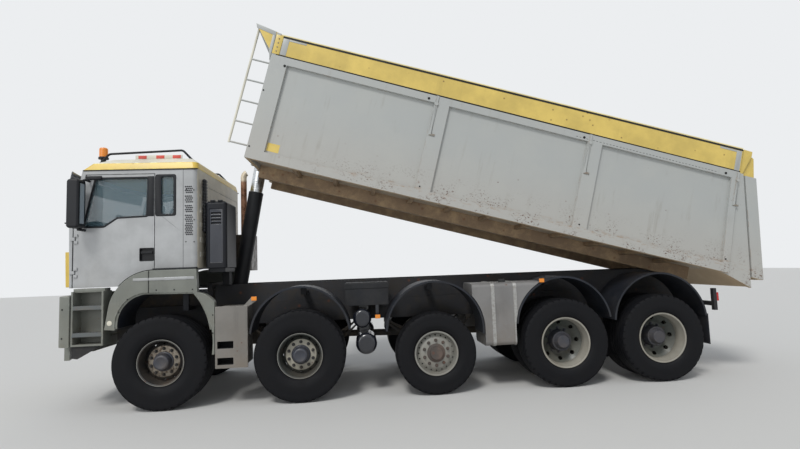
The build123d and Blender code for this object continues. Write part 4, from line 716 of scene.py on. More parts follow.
def rubber(name):
    """Tyre rubber: near black, a brown dust film on the sidewall and paler dust in the tread."""
    material, n, shader, place = start_material(name)
    grain = use(n, "grain", Vector=place, Scale=110.0)
    soil = n.between(n.noise(place, 5.0, 7.0, 0.72), 0.4, 0.75)
    base = n.mix(n.times(soil, 0.16), TYRE_BLACK, (52, 50, 48))
    scuff = n.between(n.noise(n.stretched(place, (1.0, 6.0, 1.0)), 22.0, 4.0, 0.7), 0.6, 0.8)
    base = n.film(base, scuff, 0.08, (72, 70, 66))
    n.link(base, shader.inputs["Base Color"])
    n.link(n.plus(0.62, n.times(soil, 0.25)), shader.inputs["Roughness"])
    shader.inputs["Specular IOR Level"].default_value = 0.2
    bump(n, shader, grain["Fine"], 0.25, 0.001)
    return material


def rusty_pipe():
    """Exhaust: brown rusted pipe that turns pale where heat and soot have bleached the tip."""
    material, n, shader, place = start_material("exhaust_rust")
    height = n.split(place)["Z"]
    cloud = n.noise(place, 9.0, 7.0, 0.7)
    base = n.mix(n.between(cloud, 0.3, 0.7), (112, 76, 58), (172, 130, 102))
    tip = n.between(height, 3.24, 3.30)
    base = n.mix(tip, base, n.mix(cloud, (198, 176, 142), (236, 230, 214)))
    box_part = n.between(height, 2.42, 2.34)
    base = n.mix(box_part, base, n.mix(cloud, (56, 54, 52), (96, 84, 72)))
    n.link(base, shader.inputs["Base Color"])
    n.link(n.between(cloud, 0.0, 1.2), shader.inputs["Roughness"])
    shader.inputs["Metallic"].default_value = 0.35
    bump(n, shader, cloud, 0.4, 0.002)
    return material


def chrome_rod():
    """Hard chrome of the cylinder with oil film and fine wipe lines."""
    material, n, shader, place = start_material("chrome_rod")
    lines = n.noise(n.stretched(place, (1.0, 1.0, 30.0)), 6.0, 3.0, 0.6)
    base = n.mix(n.between(lines, 0.4, 0.7), (214, 217, 220), (170, 172, 174))
    n.link(base, shader.inputs["Base Color"])
    shader.inputs["Metallic"].default_value = 1.0
    n.link(n.plus(0.14, n.times(lines, 0.16)), shader.inputs["Roughness"])
    return material


def glass(name, tint_and_reflection, alpha):
    """Tinted window glass with a faint dust film; on the mirror the tint is a painted reflection."""
    material, n, shader, place = start_material(name)
    film = n.between(n.noise(place, 2.0, 6.0, 0.7), 0.4, 0.8)
    n.link(n.mix(n.times(film, 0.15), tint_and_reflection, (170, 176, 176)), shader.inputs["Base Color"])
    shader.inputs["Roughness"].default_value = 0.03
    shader.inputs["Transmission Weight"].default_value = 0.0
    shader.inputs["Alpha"].default_value = alpha
    shader.inputs["IOR"].default_value = 1.5
    return material


def lens(name, colour, glow=0.0):
    """Moulded lamp lens with fine ribs."""
    material, n, shader, place = start_material(name)
    ribs = n.bands(place, "Z", 60.0)
    base = n.mix(ribs, shade(colour, 0.8), colour)
    n.link(base, shader.inputs["Base Color"])
    shader.inputs["Roughness"].default_value = 0.18
    shader.inputs["Coat Weight"].default_value = 0.6
    if glow:
        n.link(base, shader.inputs["Emission Color"])
        shader.inputs["Emission Strength"].default_value = glow
    bump(n, shader, ribs, 0.3, 0.001)
    return material


def bright_metal(name, shine, dull, roughness):
    """Bare metal, rubbed bright in places."""
    material, n, shader, place = start_material(name)
    cloud = n.noise(place, 30.0, 5.0, 0.7)
    n.link(n.mix(n.between(cloud, 0.42, 0.68), shine, dull), shader.inputs["Base Color"])
    shader.inputs["Metallic"].default_value = 0.7
    n.link(n.plus(roughness, n.times(cloud, 0.25)), shader.inputs["Roughness"])
    bump(n, shader, cloud, 0.15, 0.001)
    return material


def cloth():
    """Seat cloth with a woven check."""
    material, n, shader, place = start_material("seat_cloth")
    weave = n.times(n.bands(place, "X", 130.0), n.bands(place, "Z", 130.0))
    n.link(n.mix(weave, (42, 44, 52), (78, 80, 90)), shader.inputs["Base Color"])
    shader.inputs["Roughness"].default_value = 0.9
    shader.inputs["Sheen Weight"].default_value = 0.3
    bump(n, shader, weave, 0.4, 0.001)
    return material


WHEEL_DUST = (0.0, 1.3)
MATERIALS = {
    "cab_paint": painted("cab_paint", CAB_GREY, 0.34, dust=(1.6, 2.3), dust_share=0.16, chips=0.02, coat=0.3,
                         runs=0.12, dust_colour=(150, 142, 128)),
    "cab_yellow": painted("cab_yellow", YELLOW, 0.4, dust=(1.5, 2.4), dust_share=0.2, chips=0.03, runs=0.2),
    "board_yellow": painted("board_yellow", (220, 193, 103), 0.46, dust=(1.4, 1.9), dust_share=0.08,
                            chips=0.05, level=True, runs=0.12),
    "bumper_paint": painted("bumper_paint", BUMPER_GREY, 0.42, dust=(0.6, 1.9), dust_share=0.35, chips=0.06),
    "body_paint": body_paint(),
    "box_paint": painted("box_paint", BOX_GREY, 0.48, dust=(0.4, 1.4), dust_share=0.4, chips=0.04),
    "tank_paint": painted("tank_paint", TANK_GREY, 0.4, dust=(0.5, 1.5), dust_share=0.4, chips=0.03,
                          coat=0.25),
    "black_paint": painted("black_paint", BLACK_PAINT, 0.3, dust=(0.5, 1.6), dust_share=0.25, chips=0.03,
                           coat=0.4, wear=0.3),
    "black_plastic": plastic("black_plastic", (26, 28, 32)),
    "fender_plastic": plastic("fender_plastic", (30, 34, 42), 0.42, 0.25),
    "frame_paint": mud_metal("frame_paint", (33, 34, 38), (72, 65, 56), 0.4),
    "under_paint": mud_metal("under_paint", (142, 120, 96), (188, 162, 128), 0.75, level=True),
    "cast_parts": mud_metal("cast_parts", (54, 52, 50), (98, 86, 70), 0.6),
    "tyre": rubber("tyre_rubber"),
    "rim_black": painted("rim_black", (36, 37, 39), 0.4, dust=WHEEL_DUST, dust_share=0.4, chips=0.1,
                         wear=0.8),
    "rim_grey": painted("rim_grey", RIM_GREY, 0.45, dust=WHEEL_DUST, dust_share=0.4, chips=0.1),
    "rim_white": painted("rim_white", RIM_WHITE, 0.5, dust=WHEEL_DUST, dust_share=0.35, chips=0.1),
    "hub": painted("hub", HUB_GREY, 0.45, dust=WHEEL_DUST, dust_share=0.45, chips=0.12),
    "hub_rust": mud_metal("hub_rust", (74, 68, 64), (116, 98, 88), 0.6),
    "exhaust": rusty_pipe(),
    "chrome": chrome_rod(),
    "glass": glass("window_glass", (96, 122, 132), 0.42),
    # The mirror's face is an opaque pale blue grey that stands in for the sky it reflects: a painted
    # reflection.
    "mirror": glass("mirror_glass", (150, 160, 168), 1.0),
    "amber": lens("amber_lens", AMBER, 0.15),
    "red": lens("red_lens", LAMP_RED, 0.1),
    "cloth": cloth(),
    "cream": painted("cream_paint", CREAM, 0.42, dust=(1.6, 2.4), dust_share=0.15, chips=0.03, runs=0.2),
    "pale_yellow": painted("pale_yellow", (226, 212, 160), 0.5, chips=0.05, level=True, runs=0.2,
                           dust_share=0.0),
    "seam": plastic("seam_rubber", (20, 21, 23), 0.7, 0.1),
    "seal_rubber": plastic("seal_rubber", (22, 24, 28), 0.42, 0.1),
    "intake": plastic("intake_plastic", (17, 20, 27), 0.42, 0.15),
    "glossy_panel": painted("glossy_panel", (24, 30, 43), 0.2, dust_share=0.05, chips=0.0, coat=0.5,
                            wear=0.2),
    "rubber_mat": plastic("rubber_mat", (40, 42, 44), 0.75, 0.4, 60.0),
    "step_metal": mud_metal("step_metal", (92, 97, 98), (112, 104, 92), 0.5, 0.55),
    "bright_metal": bright_metal("bright_metal", (176, 176, 174), (150, 146, 140), 0.34),
    "worn_face": bright_metal("worn_face", (150, 142, 130), (86, 70, 56), 0.4),
    "face_cream": painted("face_cream", (168, 164, 150), 0.5, dust=WHEEL_DUST, dust_share=0.3, chips=0.12),
    "disc_dark": painted("disc_dark", (52, 56, 54), 0.5, dust=WHEEL_DUST, dust_share=0.3, chips=0.1),
    "disc_green": painted("disc_green", (74, 79, 74), 0.45, dust=WHEEL_DUST, dust_share=0.35, chips=0.12),
    "lever_rust": mud_metal("lever_rust", (140, 136, 126), (120, 72, 44), 0.75, level=True),
    "inside_steel": mud_metal("inside_steel", (118, 108, 96), (140, 112, 80), 0.7, 0.6, level=True),
    "smoke": glass("smoked_visor", (58, 64, 72), 0.82),
    "clear": lens("clear_lens", (214, 220, 224)),
    # The cab's rear wall is painted a warm light beige, lighter than the rest of the cab: partly settled dust
    # and partly painted sunlight on that wall.
    "cab_rear": painted("cab_rear_paint", (196, 190, 174), 0.5, dust=(1.6, 3.2), dust_share=0.3, chips=0.03,
                        runs=0.2, dust_colour=(150, 138, 116)),
    "tank_black": painted("air_tank_paint", (20, 24, 34), 0.14, dust=(0.4, 1.0), dust_share=0.12, chips=0.0,
                          coat=0.7, wear=0.1),
    "block_red": painted("block_red", (206, 74, 58), 0.45, chips=0.02, dust_share=0.0, wear=0.1),
}
SLOT_FINISHES = {
    "cab_paint": "cab_paint cab_rear",
    "cab_yellow": "cab_yellow board_yellow cream pale_yellow",
    "bumper_paint": "bumper_paint step_metal",
    "body_paint": "body_paint inside_steel",
    "tank_paint": "box_paint tank_paint",
    "frame_paint": "black_paint frame_paint under_paint tank_black",
    "black_plastic": "black_plastic fender_plastic seam seal_rubber intake glossy_panel rubber_mat",
    "cast_parts": "cast_parts hub hub_rust",
    "tyre": "tyre",
    "rim_black": "rim_black disc_dark disc_green",
    "rim_grey": "rim_grey",
    "rim_white": "rim_white face_cream",
    "rust_steel": "exhaust worn_face lever_rust",
    "chrome_rod": "chrome mirror bright_metal",
    "glass": "glass smoke clear",
    "lamp": "amber red block_red",
    "seat_cloth": "cloth",
}
SLOTS = {finish: slot for slot, finishes in SLOT_FINISHES.items() for finish in finishes.split()}


# Wheels

GROOVE_DEEP = 0.014
GROOVE_WIDE = 0.013
TYRE_STEPS = 120
RIM_WALL = 0.010


def tyre_outline(width, radius, seat):
    """Right half, bead to crown, mirrored: sidewall with a rim guard and a ridge, ribs and grooves."""
    half = width / 2
    bead = half * BEAD_SHARE
    side = [(bead, seat), (bead + 0.001, seat + 0.014)]
    low, high = seat + 0.014, radius - 0.045
    for i in range(1, 12):
        t = i / 12
        bulge = math.sin(math.pi * min(t * 1.12, 1.0)) ** 0.75
        y = bead + (half - bead) * (0.28 + 0.72 * bulge) if t < 0.5 else half - (1 - bulge) * 0.004
        step = 0.0016 if i in (3, 9) else 0.0
        side.append((min(y - step, half), low + (high - low) * t))
    steps = ((0.006, 0.034), (0.016, 0.012), (0.030, 0.006))
    shoulder = [(half - inset, radius - drop) for inset, drop in steps]
    tread = []
    ribs = 4
    inner = half - 0.034
    for i in range(ribs // 2):
        at = inner * (1 - (i + 0.62) / (ribs / 2 + 0.12))
        crown = radius - 0.004 * (at / half) ** 2
        tread += [(at + GROOVE_WIDE / 2, crown), (at + GROOVE_WIDE / 3, crown - GROOVE_DEEP),
                  (at - GROOVE_WIDE / 3, crown - GROOVE_DEEP), (at - GROOVE_WIDE / 2, crown)]
    right = side + shoulder + tread
    left = [(-y, r) for y, r in reversed(right)]
    return right + left


def tyre_mesh(name, width, radius, seat):
    """A road tyre about the Y axis at the origin, with notched shoulder ribs."""
    piece = turned(name, tyre_outline(width, radius, seat), TYRE_STEPS)
    half = width / 2

    def notch(face):
        middle = face.center
        turn = math.degrees(math.atan2(middle.z, middle.x)) % 9.0
        away = math.hypot(middle.x, middle.z)
        return away > radius - 0.03 and half - 0.034 < abs(middle.y) < half - 0.004 and turn < 3.2

    pick(piece, notch)
    bpy.ops.mesh.inset(thickness=0.002, depth=-0.009)
    leave()
    smooth(piece, 38.0)
    return piece


NUT_WIDE = 0.018
NUT_HIGH = 0.022
NUTS = 10
STUD_HIGH = 0.016


def wheel_nuts(name, radius, face_y):
    """A ring of wheel nuts with their stud ends."""
    nut = cylinder("nut", (radius, face_y + NUT_HIGH / 2, 0), NUT_WIDE, NUT_HIGH, "Y", 6)
    bevel(nut, 0.002, 1)
    washer = cylinder("washer", (radius, face_y + 0.002, 0), NUT_WIDE * 1.25, 0.005, "Y", 16)
    end = cylinder("stud", (radius, face_y + NUT_HIGH + STUD_HIGH / 2, 0), NUT_WIDE / 2, STUD_HIGH, "Y", 10)
    return smooth(ring_of(name, joined("nut_set", [nut, washer, end]), NUTS, math.radians(18)))


def barrel_outline(seat, bead):
    """The rim's section under the tyre: flange lips, bead seats and drop centre, as a closed loop."""
    lip = seat + 0.012
    out = [(bead, seat - 0.001), (bead + 0.001, lip - 0.003), (bead + 0.005, lip),
           (bead + 0.012, lip - 0.002), (bead + 0.013, lip - 0.008), (bead + 0.006, seat - RIM_WALL),
           (bead - 0.030, seat - RIM_WALL - 0.004), (0.045, seat - 0.034)]
    inner = [(-y, r) for y, r in reversed(out)]
    outer_well = [(-bead + 0.040, seat - 0.004), (-0.040, seat - 0.022), (0.040, seat - 0.022),
                  (bead - 0.040, seat - 0.004)]
    return out + inner + outer_well


def disc_outline(face, edge_y, edge_r, hub_r, bend_r, thick):
    """The pressed disc from the hub out to the rim, as a closed loop."""
    return [(face, hub_r), (face, bend_r - 0.012), (face - (0.006 if edge_y < face else -0.006), bend_r),
            (edge_y, edge_r), (edge_y - thick, edge_r), (face - thick, bend_r - 0.006), (face - thick, hub_r)]


def hand_holes(name, count, radius, size, long):
    """Cutters for the holes in a wheel disc."""
    hole = cylinder("hole", (radius, 0, 0), size, 0.6, "Y", 20)
    if long != 1.0:
        hole.data.transform(Matrix.Translation((radius, 0, 0)) @ Matrix.Scale(long, 4, (0, 0, 1))
                            @ Matrix.Translation((-radius, 0, 0)))
    return ring_of(name, hole, count)


# Hub and cap of a wheel as (ahead of the disc face, radius), from the disc out to the cap's middle
STEERED_HUB = [(-0.02, 0.128), (0.008, 0.128), (0.014, 0.122), (0.020, 0.112), (0.092, 0.100), (0.104, 0.096),
               (0.112, 0.088), (0.116, 0.070), (0.112, 0.062), (0.113, 0.0)]
DEAD_HUB = [(-0.02, 0.124), (0.006, 0.124), (0.012, 0.116), (0.018, 0.092), (0.050, 0.086), (0.058, 0.080),
            (0.059, 0.0)]
DRIVEN_HUB = [(-0.02, 0.150), (0.010, 0.150), (0.018, 0.144), (0.120, 0.138), (0.136, 0.132), (0.140, 0.118),
              (0.176, 0.092), (0.196, 0.088), (0.204, 0.080), (0.206, 0.0)]

# Wheels by axle: tyre width and bead radius; face of the disc, its outer edge's Y and radius; hole count,
# hole circle, hole radius and hole length to width; hub line, bolt circle and bolt place; finishes
STEERED_WHEEL = dict(wide=0.445, seat=0.286, face=0.056, edge=0.004, edge_r=0.258, holes=12, hole_at=0.232,
                     hole=0.012, long=1.3, hub_line=STEERED_HUB, bolt_at=0.104, bolt_y=0.020,
                     lip="rim_grey", hub="hub", nut="rim_black")
DRIVEN_WHEEL = dict(wide=0.325, seat=0.334, face=-0.156, edge=-0.060, edge_r=0.316, holes=8, hole_at=0.252,
                    hole=0.025, long=1.2, hub_line=DRIVEN_HUB, bolt_at=0.118, bolt_y=0.140,
                    rim="rim_white", lip="rim_white", disc="disc_green", ring="disc_green", hub="hub",
                    nut="hub")
RIMS = {
    1: dict(STEERED_WHEEL, rim="rim_black", disc="rim_black", ring="worn_face"),
    2: dict(STEERED_WHEEL, rim="disc_dark", disc="disc_dark", ring="face_cream"),
    3: dict(wide=0.385, seat=0.286, face=0.108, edge=0.068, edge_r=0.262, holes=20, hole_at=0.236, hole=0.011,
            long=1.0, hub_line=DEAD_HUB, bolt_at=0.104, bolt_y=0.008,
            rim="rim_grey", lip="rim_grey", disc="rim_grey", ring="rim_grey", hub="hub_rust", nut="hub_rust"),
    4: DRIVEN_WHEEL,
    5: DRIVEN_WHEEL,
}
BEAD_SHARE = 0.74
NUT_CIRCLE = 0.1675
DISC_THICK = 0.012
RING_RADIUS = 0.212
TYRE_SIDE = 1.25
TWIN_PITCH = 0.362


def in_rows(piece, rows):
    """Joins copies of a piece at the given places along Y, in its stead."""
    copies = joined(piece.name, [duplicate(piece, (0, row, 0)) for row in rows])
    bpy.data.objects.remove(piece)
    return copies


def brake_drum(face, shield):
    """Drum behind the disc, with a dust shield that closes the view through the hand holes."""
    y = face - 0.03
    return smooth(turned("drum", [
        (y, 0.09), (y, 0.2), (y - 0.01, 0.205), (y - 0.055, 0.206), (y - 0.060, shield), (y - 0.066, shield),
        (y - 0.070, 0.206), (y - 0.12, 0.208), (y - 0.12, 0.192), (y - 0.02, 0.190), (y - 0.02, 0.09)], 64))


def wheel_parts(number):
    """Pieces of one left wheel about the Y axis at the origin: (name, piece, finish)."""
    spec = RIMS[number]
    seat, face = spec["seat"], spec["face"]
    low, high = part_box(f"tyre_{number}_left")
    twin = number in TWIN
    rows = (0.0, -TWIN_PITCH) if twin else (0.0,)
    tyre = tyre_mesh("tyre", min(high.y - low.y, spec["wide"]), (high.z - low.z) / 2, seat)
    tyres = smooth(in_rows(tyre, rows), 38.0)
    barrel = turned("barrel", barrel_outline(seat, spec["wide"] / 2 * BEAD_SHARE), 96)
    barrels = smooth(in_rows(barrel, rows), 40.0)
    disc = turned("disc", disc_outline(face, spec["edge"], spec["edge_r"], 0.09, 0.205, DISC_THICK), 96)
    cut(disc, hand_holes("holes", spec["holes"], spec["hole_at"], spec["hole"], spec["long"]))
    parts = [("tyre", tyres, "tyre"), ("barrel", barrels, spec["rim"]), ("disc", smooth(disc), spec["disc"])]
    if twin:
        back = Matrix.Translation((0, 2 * (face - DISC_THICK), 0)) @ Matrix.Rotation(math.pi, 4, "X")
        parts.append(("back_disc", duplicate(disc, turn=back), spec["disc"]))
    parts.append(("drum", brake_drum(face, spec["hole_at"] + spec["hole"] - 0.004), "cast_parts"))
    hub = turned("hub", [(face + y, radius) for y, radius in spec["hub_line"]], 64, closed=False)
    bolt = cylinder("bolt", (spec["bolt_at"], face + spec["bolt_y"], 0), 0.008, 0.012, "Y", 6)
    parts.append(("hub", smooth(joined("hub", [hub, ring_of("bolts", bolt, 12)])), spec["hub"]))
    parts.append(("nuts", wheel_nuts("nuts", NUT_CIRCLE, face), spec["nut"]))
    return parts


def away(face, centre):
    """How far a face is from a wheel's turning line."""
    return math.hypot(face.center.x - centre.x, face.center.z - centre.z)


def wheels():
    for number, spec in RIMS.items():
        parts = wheel_parts(number)
        low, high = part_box(f"tyre_{number}_left")
        centre = Vector(((low.x + high.x) / 2, TYRE_SIDE - spec["wide"] / 2, (low.z + high.z) / 2))
        for side, sign in SIDES.items():
            stands_for = {"tyre": [f"tyre_{number}_{side}"], "barrel": [f"rim_{number}_{side}"]}
            for name, part, finish in parts:
                piece = duplicate(part, centre)
                label = f"{name}_{number}_{side}_finish"
                if sign < 0:
                    left, piece = piece, mirrored(piece, label)
                    bpy.data.objects.remove(left)
                piece.name = label
                finished(piece, f"wheel_{number}_{side}", finish, *stands_for.get(name, []))
                if name == "barrel":
                    paint(piece, spec["lip"], lambda face: away(face, centre) > spec["seat"] + 0.002
                          and abs(face.center.y) > centre.y + 0.1)
                if name == "disc":
                    paint(piece, spec["ring"], lambda face: away(face, centre) < RING_RADIUS)
        for name, part, finish in parts:
            bpy.data.objects.remove(part)


# Construction pieces that keep their shape and get broken edges: node, body, finish, edge width in metres
PLAIN = [
    ("cab_shell", "cab", "cab_paint", 0.005), ("cab_roof", "cab", "cab_yellow", 0.012),
    ("front_panel", "cab", "cab_yellow", 0.006), ("sun_visor", "cab", "smoke", 0.002),
    ("roof_rail", "cab", "black_plastic", 0.0), ("dashboard", "cab", "black_plastic", 0.004),
    ("bumper", "chassis", "bumper_paint", 0.008), ("entry_steps", "chassis", "bumper_paint", 0.004),
    ("front_fenders", "chassis", "bumper_paint", 0.008), ("rear_fenders", "chassis", "fender_plastic", 0.002),
    ("step_boxes", "chassis", "box_paint", 0.004), ("fuel_tanks", "chassis", "tank_paint", 0.003),
    ("battery_and_air_tanks", "chassis", "black_paint", 0.003), ("intake_box", "chassis", "intake", 0.006),
    ("exhaust_stack", "chassis", "exhaust", 0.003), ("chassis_frame", "chassis", "frame_paint", 0.002),
    ("tipper_subframe", "chassis", "frame_paint", 0.003),
    ("axles_and_springs", "chassis", "cast_parts", 0.003),
    ("engine_and_gearbox", "chassis", "cast_parts", 0.006), ("load_body", "bed", "body_paint", 0.003),
    ("side_boards", "bed", "board_yellow", 0.003), ("body_underframe", "bed", "under_paint", 0.003),
    ("tailgate", "tailgate", "body_paint", 0.004),
    ("cylinder_tube", "cylinder_tube", "black_plastic", 0.003), ("lamps", "chassis", "amber", 0.004),
]
ROOF_EDGE = GUTTER + 0.099
LINER_SIDE = 1.149
RUBBER_FOOT = 0.859
TANK_TOP = 1.4575
LID_FOOT = 1.43
LID_CLEARANCE = 1.0125
AIR_TANK_TOP = 1.16
BATTERY_FOOT = 1.2
INTAKE_PANEL = (0.986, 0.990)
STEP_TREADS = (1.0, 1.34)
TOE_HOLES = ((0.545, 0.633), (0.752, 0.842))
STRAPS = (-4.395, -4.705)
BEACON = Vector((AXLE_1 + 0.985, 0.7))


def fore(face):
    """How far a face is ahead of the first axle."""
    return face.center.x - AXLE_1


def out_from(face):
    return abs(face.center.y)


def in_door_recess(face):
    return 0.118 < fore(face) < 0.306 and 1.918 < face.center.z < 2.097 and out_from(face) < CAB_SIDE - 0.0005


def is_beacon(face):
    off = Vector((face.center.x, out_from(face))) - BEACON
    return off.length < 0.075 and face.center.z > GUTTER + 0.268


# Faces inside the step boxes' toe holes, which get a dark finish as painted shade.
def in_toe_hole_shade(face):
    return (-0.935 < fore(face) < -0.72 and out_from(face) < 1.249
            and any(low - 0.005 < face.center.z < high + 0.005 for low, high in TOE_HOLES))


def is_tread(face):
    return (0.715 < fore(face) < 1.085 and out_from(face) > 1.03
            and any(z - 0.024 < face.center.z < z + 0.031 for z in STEP_TREADS))


def is_strap(face):
    return out_from(face) > 0.66 and any(abs(fore(face) - x) < 0.024 for x in STRAPS)


def in_load_space(face):
    u, v = bed_place(face.center)
    return out_from(face) < 1.197 and u > 0.055 and v > 0.105


def is_gate_hanger(face):
    u, v = bed_place(face.center)
    return u > 6.86 and v > 1.482


def is_stile(face):
    u, v = bed_place(face.center)
    return abs(u + 0.29) < 0.02 and 1.1 < out_from(face) < 1.16


def is_lever(face):
    u, v = bed_place(face.center)
    return out_from(face) > BODY_SIDE + 0.0005 and 0.85 < v < 1.01


def is_canopy(face):
    u, v = bed_place(face.center)
    return u < 0.045 and out_from(face) < 1.191 and not (out_from(face) > 1.188 and abs(face.normal.y) > 0.9)


def is_roll(face):
    u, v = bed_place(face.center)
    return u > 0.06 and out_from(face) > 1.2 and v > 1.7685 + (u - 0.065) * 0.0085


def is_intake_panel(face):
    return INTAKE_PANEL[0] < face.center.y < INTAKE_PANEL[1] and face.normal.y > 0.9


# Faces of a piece that have another finish than the rest
REGIONS = {
    "cab_roof": [("cream", lambda face: face.center.z > ROOF_EDGE and face.normal.z > 0.1)],
    "roof_rail": [("amber", is_beacon)],
    "front_fenders": [("fender_plastic", lambda face: out_from(face) < LINER_SIDE)],
    "entry_steps": [("step_metal", is_tread),
                    ("rubber_mat", lambda face: face.center.z < RUBBER_FOOT and out_from(face) > 1.18)],
    # The toe holes' inner faces get the dark seam finish: painted shade in the holes.
    "step_boxes": [("seam", in_toe_hole_shade)],
    "fuel_tanks": [("bright_metal", is_strap),
                   ("rubber_mat", lambda face: face.center.z > TANK_TOP and not is_strap(face))],
    "battery_and_air_tanks": [("black_plastic", lambda face: face.center.z > BATTERY_FOOT),
                              ("tank_black", lambda face: face.center.z < AIR_TANK_TOP)],
    # Rear-facing faces of the cab get the beige of dust and painted sunlight.
    "cab_shell": [("cab_rear", lambda face: face.normal.x < -0.8 and fore(face) < -0.3)],
    "intake_box": [("glossy_panel", is_intake_panel)],
    "load_body": [("inside_steel", in_load_space), ("board_yellow", is_gate_hanger), ("cream", is_stile),
                  ("lever_rust", is_lever)],
    "side_boards": [("body_paint", is_canopy), ("pale_yellow", is_roll)],
    "tailgate": [("board_yellow", is_gate_hanger)],
    "lamps": [("clear", lambda face: fore(face) > 1.0), ("red", lambda face: fore(face) < -6.0)],
}


def clear_of_the_bed(piece):
    """Draws the battery lid's inner side 7 mm out, so that it stands clear of the lowered subframe."""
    pick(piece, lambda face: out_from(face) < 0.5635 and face.center.z > LID_FOOT)
    bpy.ops.transform.resize(value=(1.0, LID_CLEARANCE, 1.0), center_override=(0.0, 0.0, 0.0))
    leave()


def plain_pieces():
    for node, body, finish, width in PLAIN:
        piece = finished(softened(node, width), body, finish, node)
        if node == "battery_and_air_tanks":
            clear_of_the_bed(piece)
        for other, test in REGIONS.get(node, []):
            paint(piece, other, test)
    for side in SIDES:
        door = finished(softened(f"door_{side}", 0.003), f"door_{side}", "cab_paint", f"door_{side}")
        paint(door, "seal_rubber", in_door_recess)
        mirror = softened(f"mirror_{side}", 0.02, 3, clamp=True)
        pick(mirror, lambda face: face.normal.x < -0.95 and face.area > 0.02)
        bpy.ops.mesh.inset(thickness=0.014, depth=-0.003)
        leave()
        inner = [face.index for face in mirror.data.polygons if face.select]
        finished(mirror, f"door_{side}", "seal_rubber", f"mirror_{side}")
        # The mirror's inset face gets the painted reflection.
        paint(mirror, "mirror", lambda face: face.index in inner)
        for number in STEERED:
            name = f"knuckle_{number}_{side}"
            finished(softened(name, 0.004), name, "cast_parts", name)


def carried_over():
    """Nodes whose own mesh stays, with a better material."""
    kept = {"cab_glass": "glass", "door_glass_left": "glass", "door_glass_right": "glass",
            "cylinder_stage_1": "chrome", "cylinder_stage_2": "chrome", "cylinder_stage_3": "chrome"}
    for node, finish in kept.items():
        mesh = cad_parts[node].data
        mesh.materials.clear()
        mesh.materials.append(MATERIALS[finish])


# Trim on the cab

def at_axle(points):
    """Places given as (ahead of the first axle, height), in the frame's X and Z."""
    return [(AXLE_1 + x, z) for x, z in points]


WINDOW = at_axle([(1.020, 2.392), (0.872, 3.040), (0.196, 3.040), (0.214, 2.520), (0.590, 2.508),
                  (0.760, 2.392)])
REAR_WINDOW = at_axle(rectangle(-0.140, 0.040, 2.530, 3.060))
# Vent groups on the cab's rear corner: lowest slot's foot and how high the group is
VENTS = [(2.254, 0.154), (2.432, 0.086), (2.562, 0.086), (2.692, 0.086), (2.822, 0.086)]
VENT_MIDDLE = -0.330
VENT_HALF = 0.055


def vent_panels():
    """Pressed plates over the vents, with staggered rows of holes drawn as thin dark discs: painted shade
    where the holes are.
    """
    plates, holes = [], []
    for low, high in VENTS:
        outline = at_axle(rectangle(VENT_MIDDLE - VENT_HALF, VENT_MIDDLE + VENT_HALF, low - 0.006,
                                    low + high + 0.006))
        plates.append(plate("vent", rounded(outline, 0.008, 2), CAB_SIDE - 0.002, CAB_SIDE + 0.0012))
        rows = max(3, round(high / 0.022))
        for row in range(rows):
            z = low + 0.004 + (high - 0.008) * row / (rows - 1)
            shift = 0.012 if row % 2 else 0.0
            holes += [(VENT_MIDDLE - 0.042 + 0.024 * i + shift, z) for i in range(4)]
    both_sides(joined("vent_plates", plates), "cab", "cab_paint")
    # The holes are dark discs laid on the plate: painted shade where the vent holes are.
    heads = studs("vent_holes", at_axle(holes), CAB_SIDE + 0.0008, 0.0105, 0.0016, 8)
    both_sides(heads, "cab", "seam")


def cab_trim():
    window_seal = seal("window_seal", WINDOW, 0.014, -0.010, CAB_SIDE - 0.012, CAB_SIDE + 0.004)
    both_sides(window_seal, "door_{}", "seal_rubber")
    pillar = at_axle(rectangle(0.121, 0.206, 2.516, 3.058))
    pillar = plate("door_pillar", rounded(pillar, 0.006, 1), CAB_SIDE - 0.004, CAB_SIDE + 0.003, 0.0015)
    both_sides(pillar, "door_{}", "seal_rubber")
    frame_out = at_axle([(0.107, 2.512), (0.107, 3.080), (-0.165, 3.080), (-0.165, 2.512)])
    surround = plate("rear_window_frame", rounded(frame_out, 0.035), CAB_SIDE - 0.012, CAB_SIDE + 0.003)
    cut(surround, plate("hole", rounded(grown(REAR_WINDOW, -0.012), 0.03), CAB_SIDE - 0.05, CAB_SIDE + 0.05))
    both_sides(smooth(bevel(surround, 0.002, 2)), "cab", "seal_rubber")
    gutter = at_axle([(1.035, 3.141), (1.035, 3.156), (-0.447, 3.156), (-0.447, 3.139)])
    both_sides(plate("gutter", gutter, CAB_SIDE - 0.006, CAB_SIDE + 0.009, 0.004), "cab", "seal_rubber")
    foot = fore_block("mirror_foot", (0.79, CAB_SIDE - 0.002, 3.020), (0.985, CAB_SIDE + 0.022, 3.072), 0.008)
    both_sides(foot, "door_{}", "seal_rubber")
    seam = at_axle(rectangle(-0.2575, -0.2535, 1.808, 3.138))
    both_sides(plate("corner_seam", seam, CAB_SIDE - 0.001, CAB_SIDE + 0.0009), "cab", "seam")
    screws = at_axle([(-0.395, 2.857), (-0.399, 2.454), (-0.291, 2.161), (-0.398, 2.157), (-0.296, 2.866)])
    both_sides(studs("corner_screws", screws, CAB_SIDE, 0.008, 0.003), "cab", "seam")
    handle = at_axle(rectangle(0.122, 0.302, 1.924, 2.092))
    handle_rim = seal("handle_rim", handle, 0.004, -0.006, CAB_SIDE - 0.004, CAB_SIDE + 0.004, 0.016)
    both_sides(handle_rim, "door_{}", "seal_rubber")
    vent_panels()
    strip = fore_block("roof_strip", (-0.20, 0.985, 3.316), (0.42, 1.0, 3.372), 0.004)
    both_sides(strip, "cab", "cream")
    blocks = [fore_block("mark", (x - 0.054, 0.984, 3.322), (x + 0.054, 1.0035, 3.367), 0.002)
              for x in (0.325, 0.090, -0.128)]
    both_sides(joined("roof_marks", blocks), "cab", "block_red")
    beacon_rings()


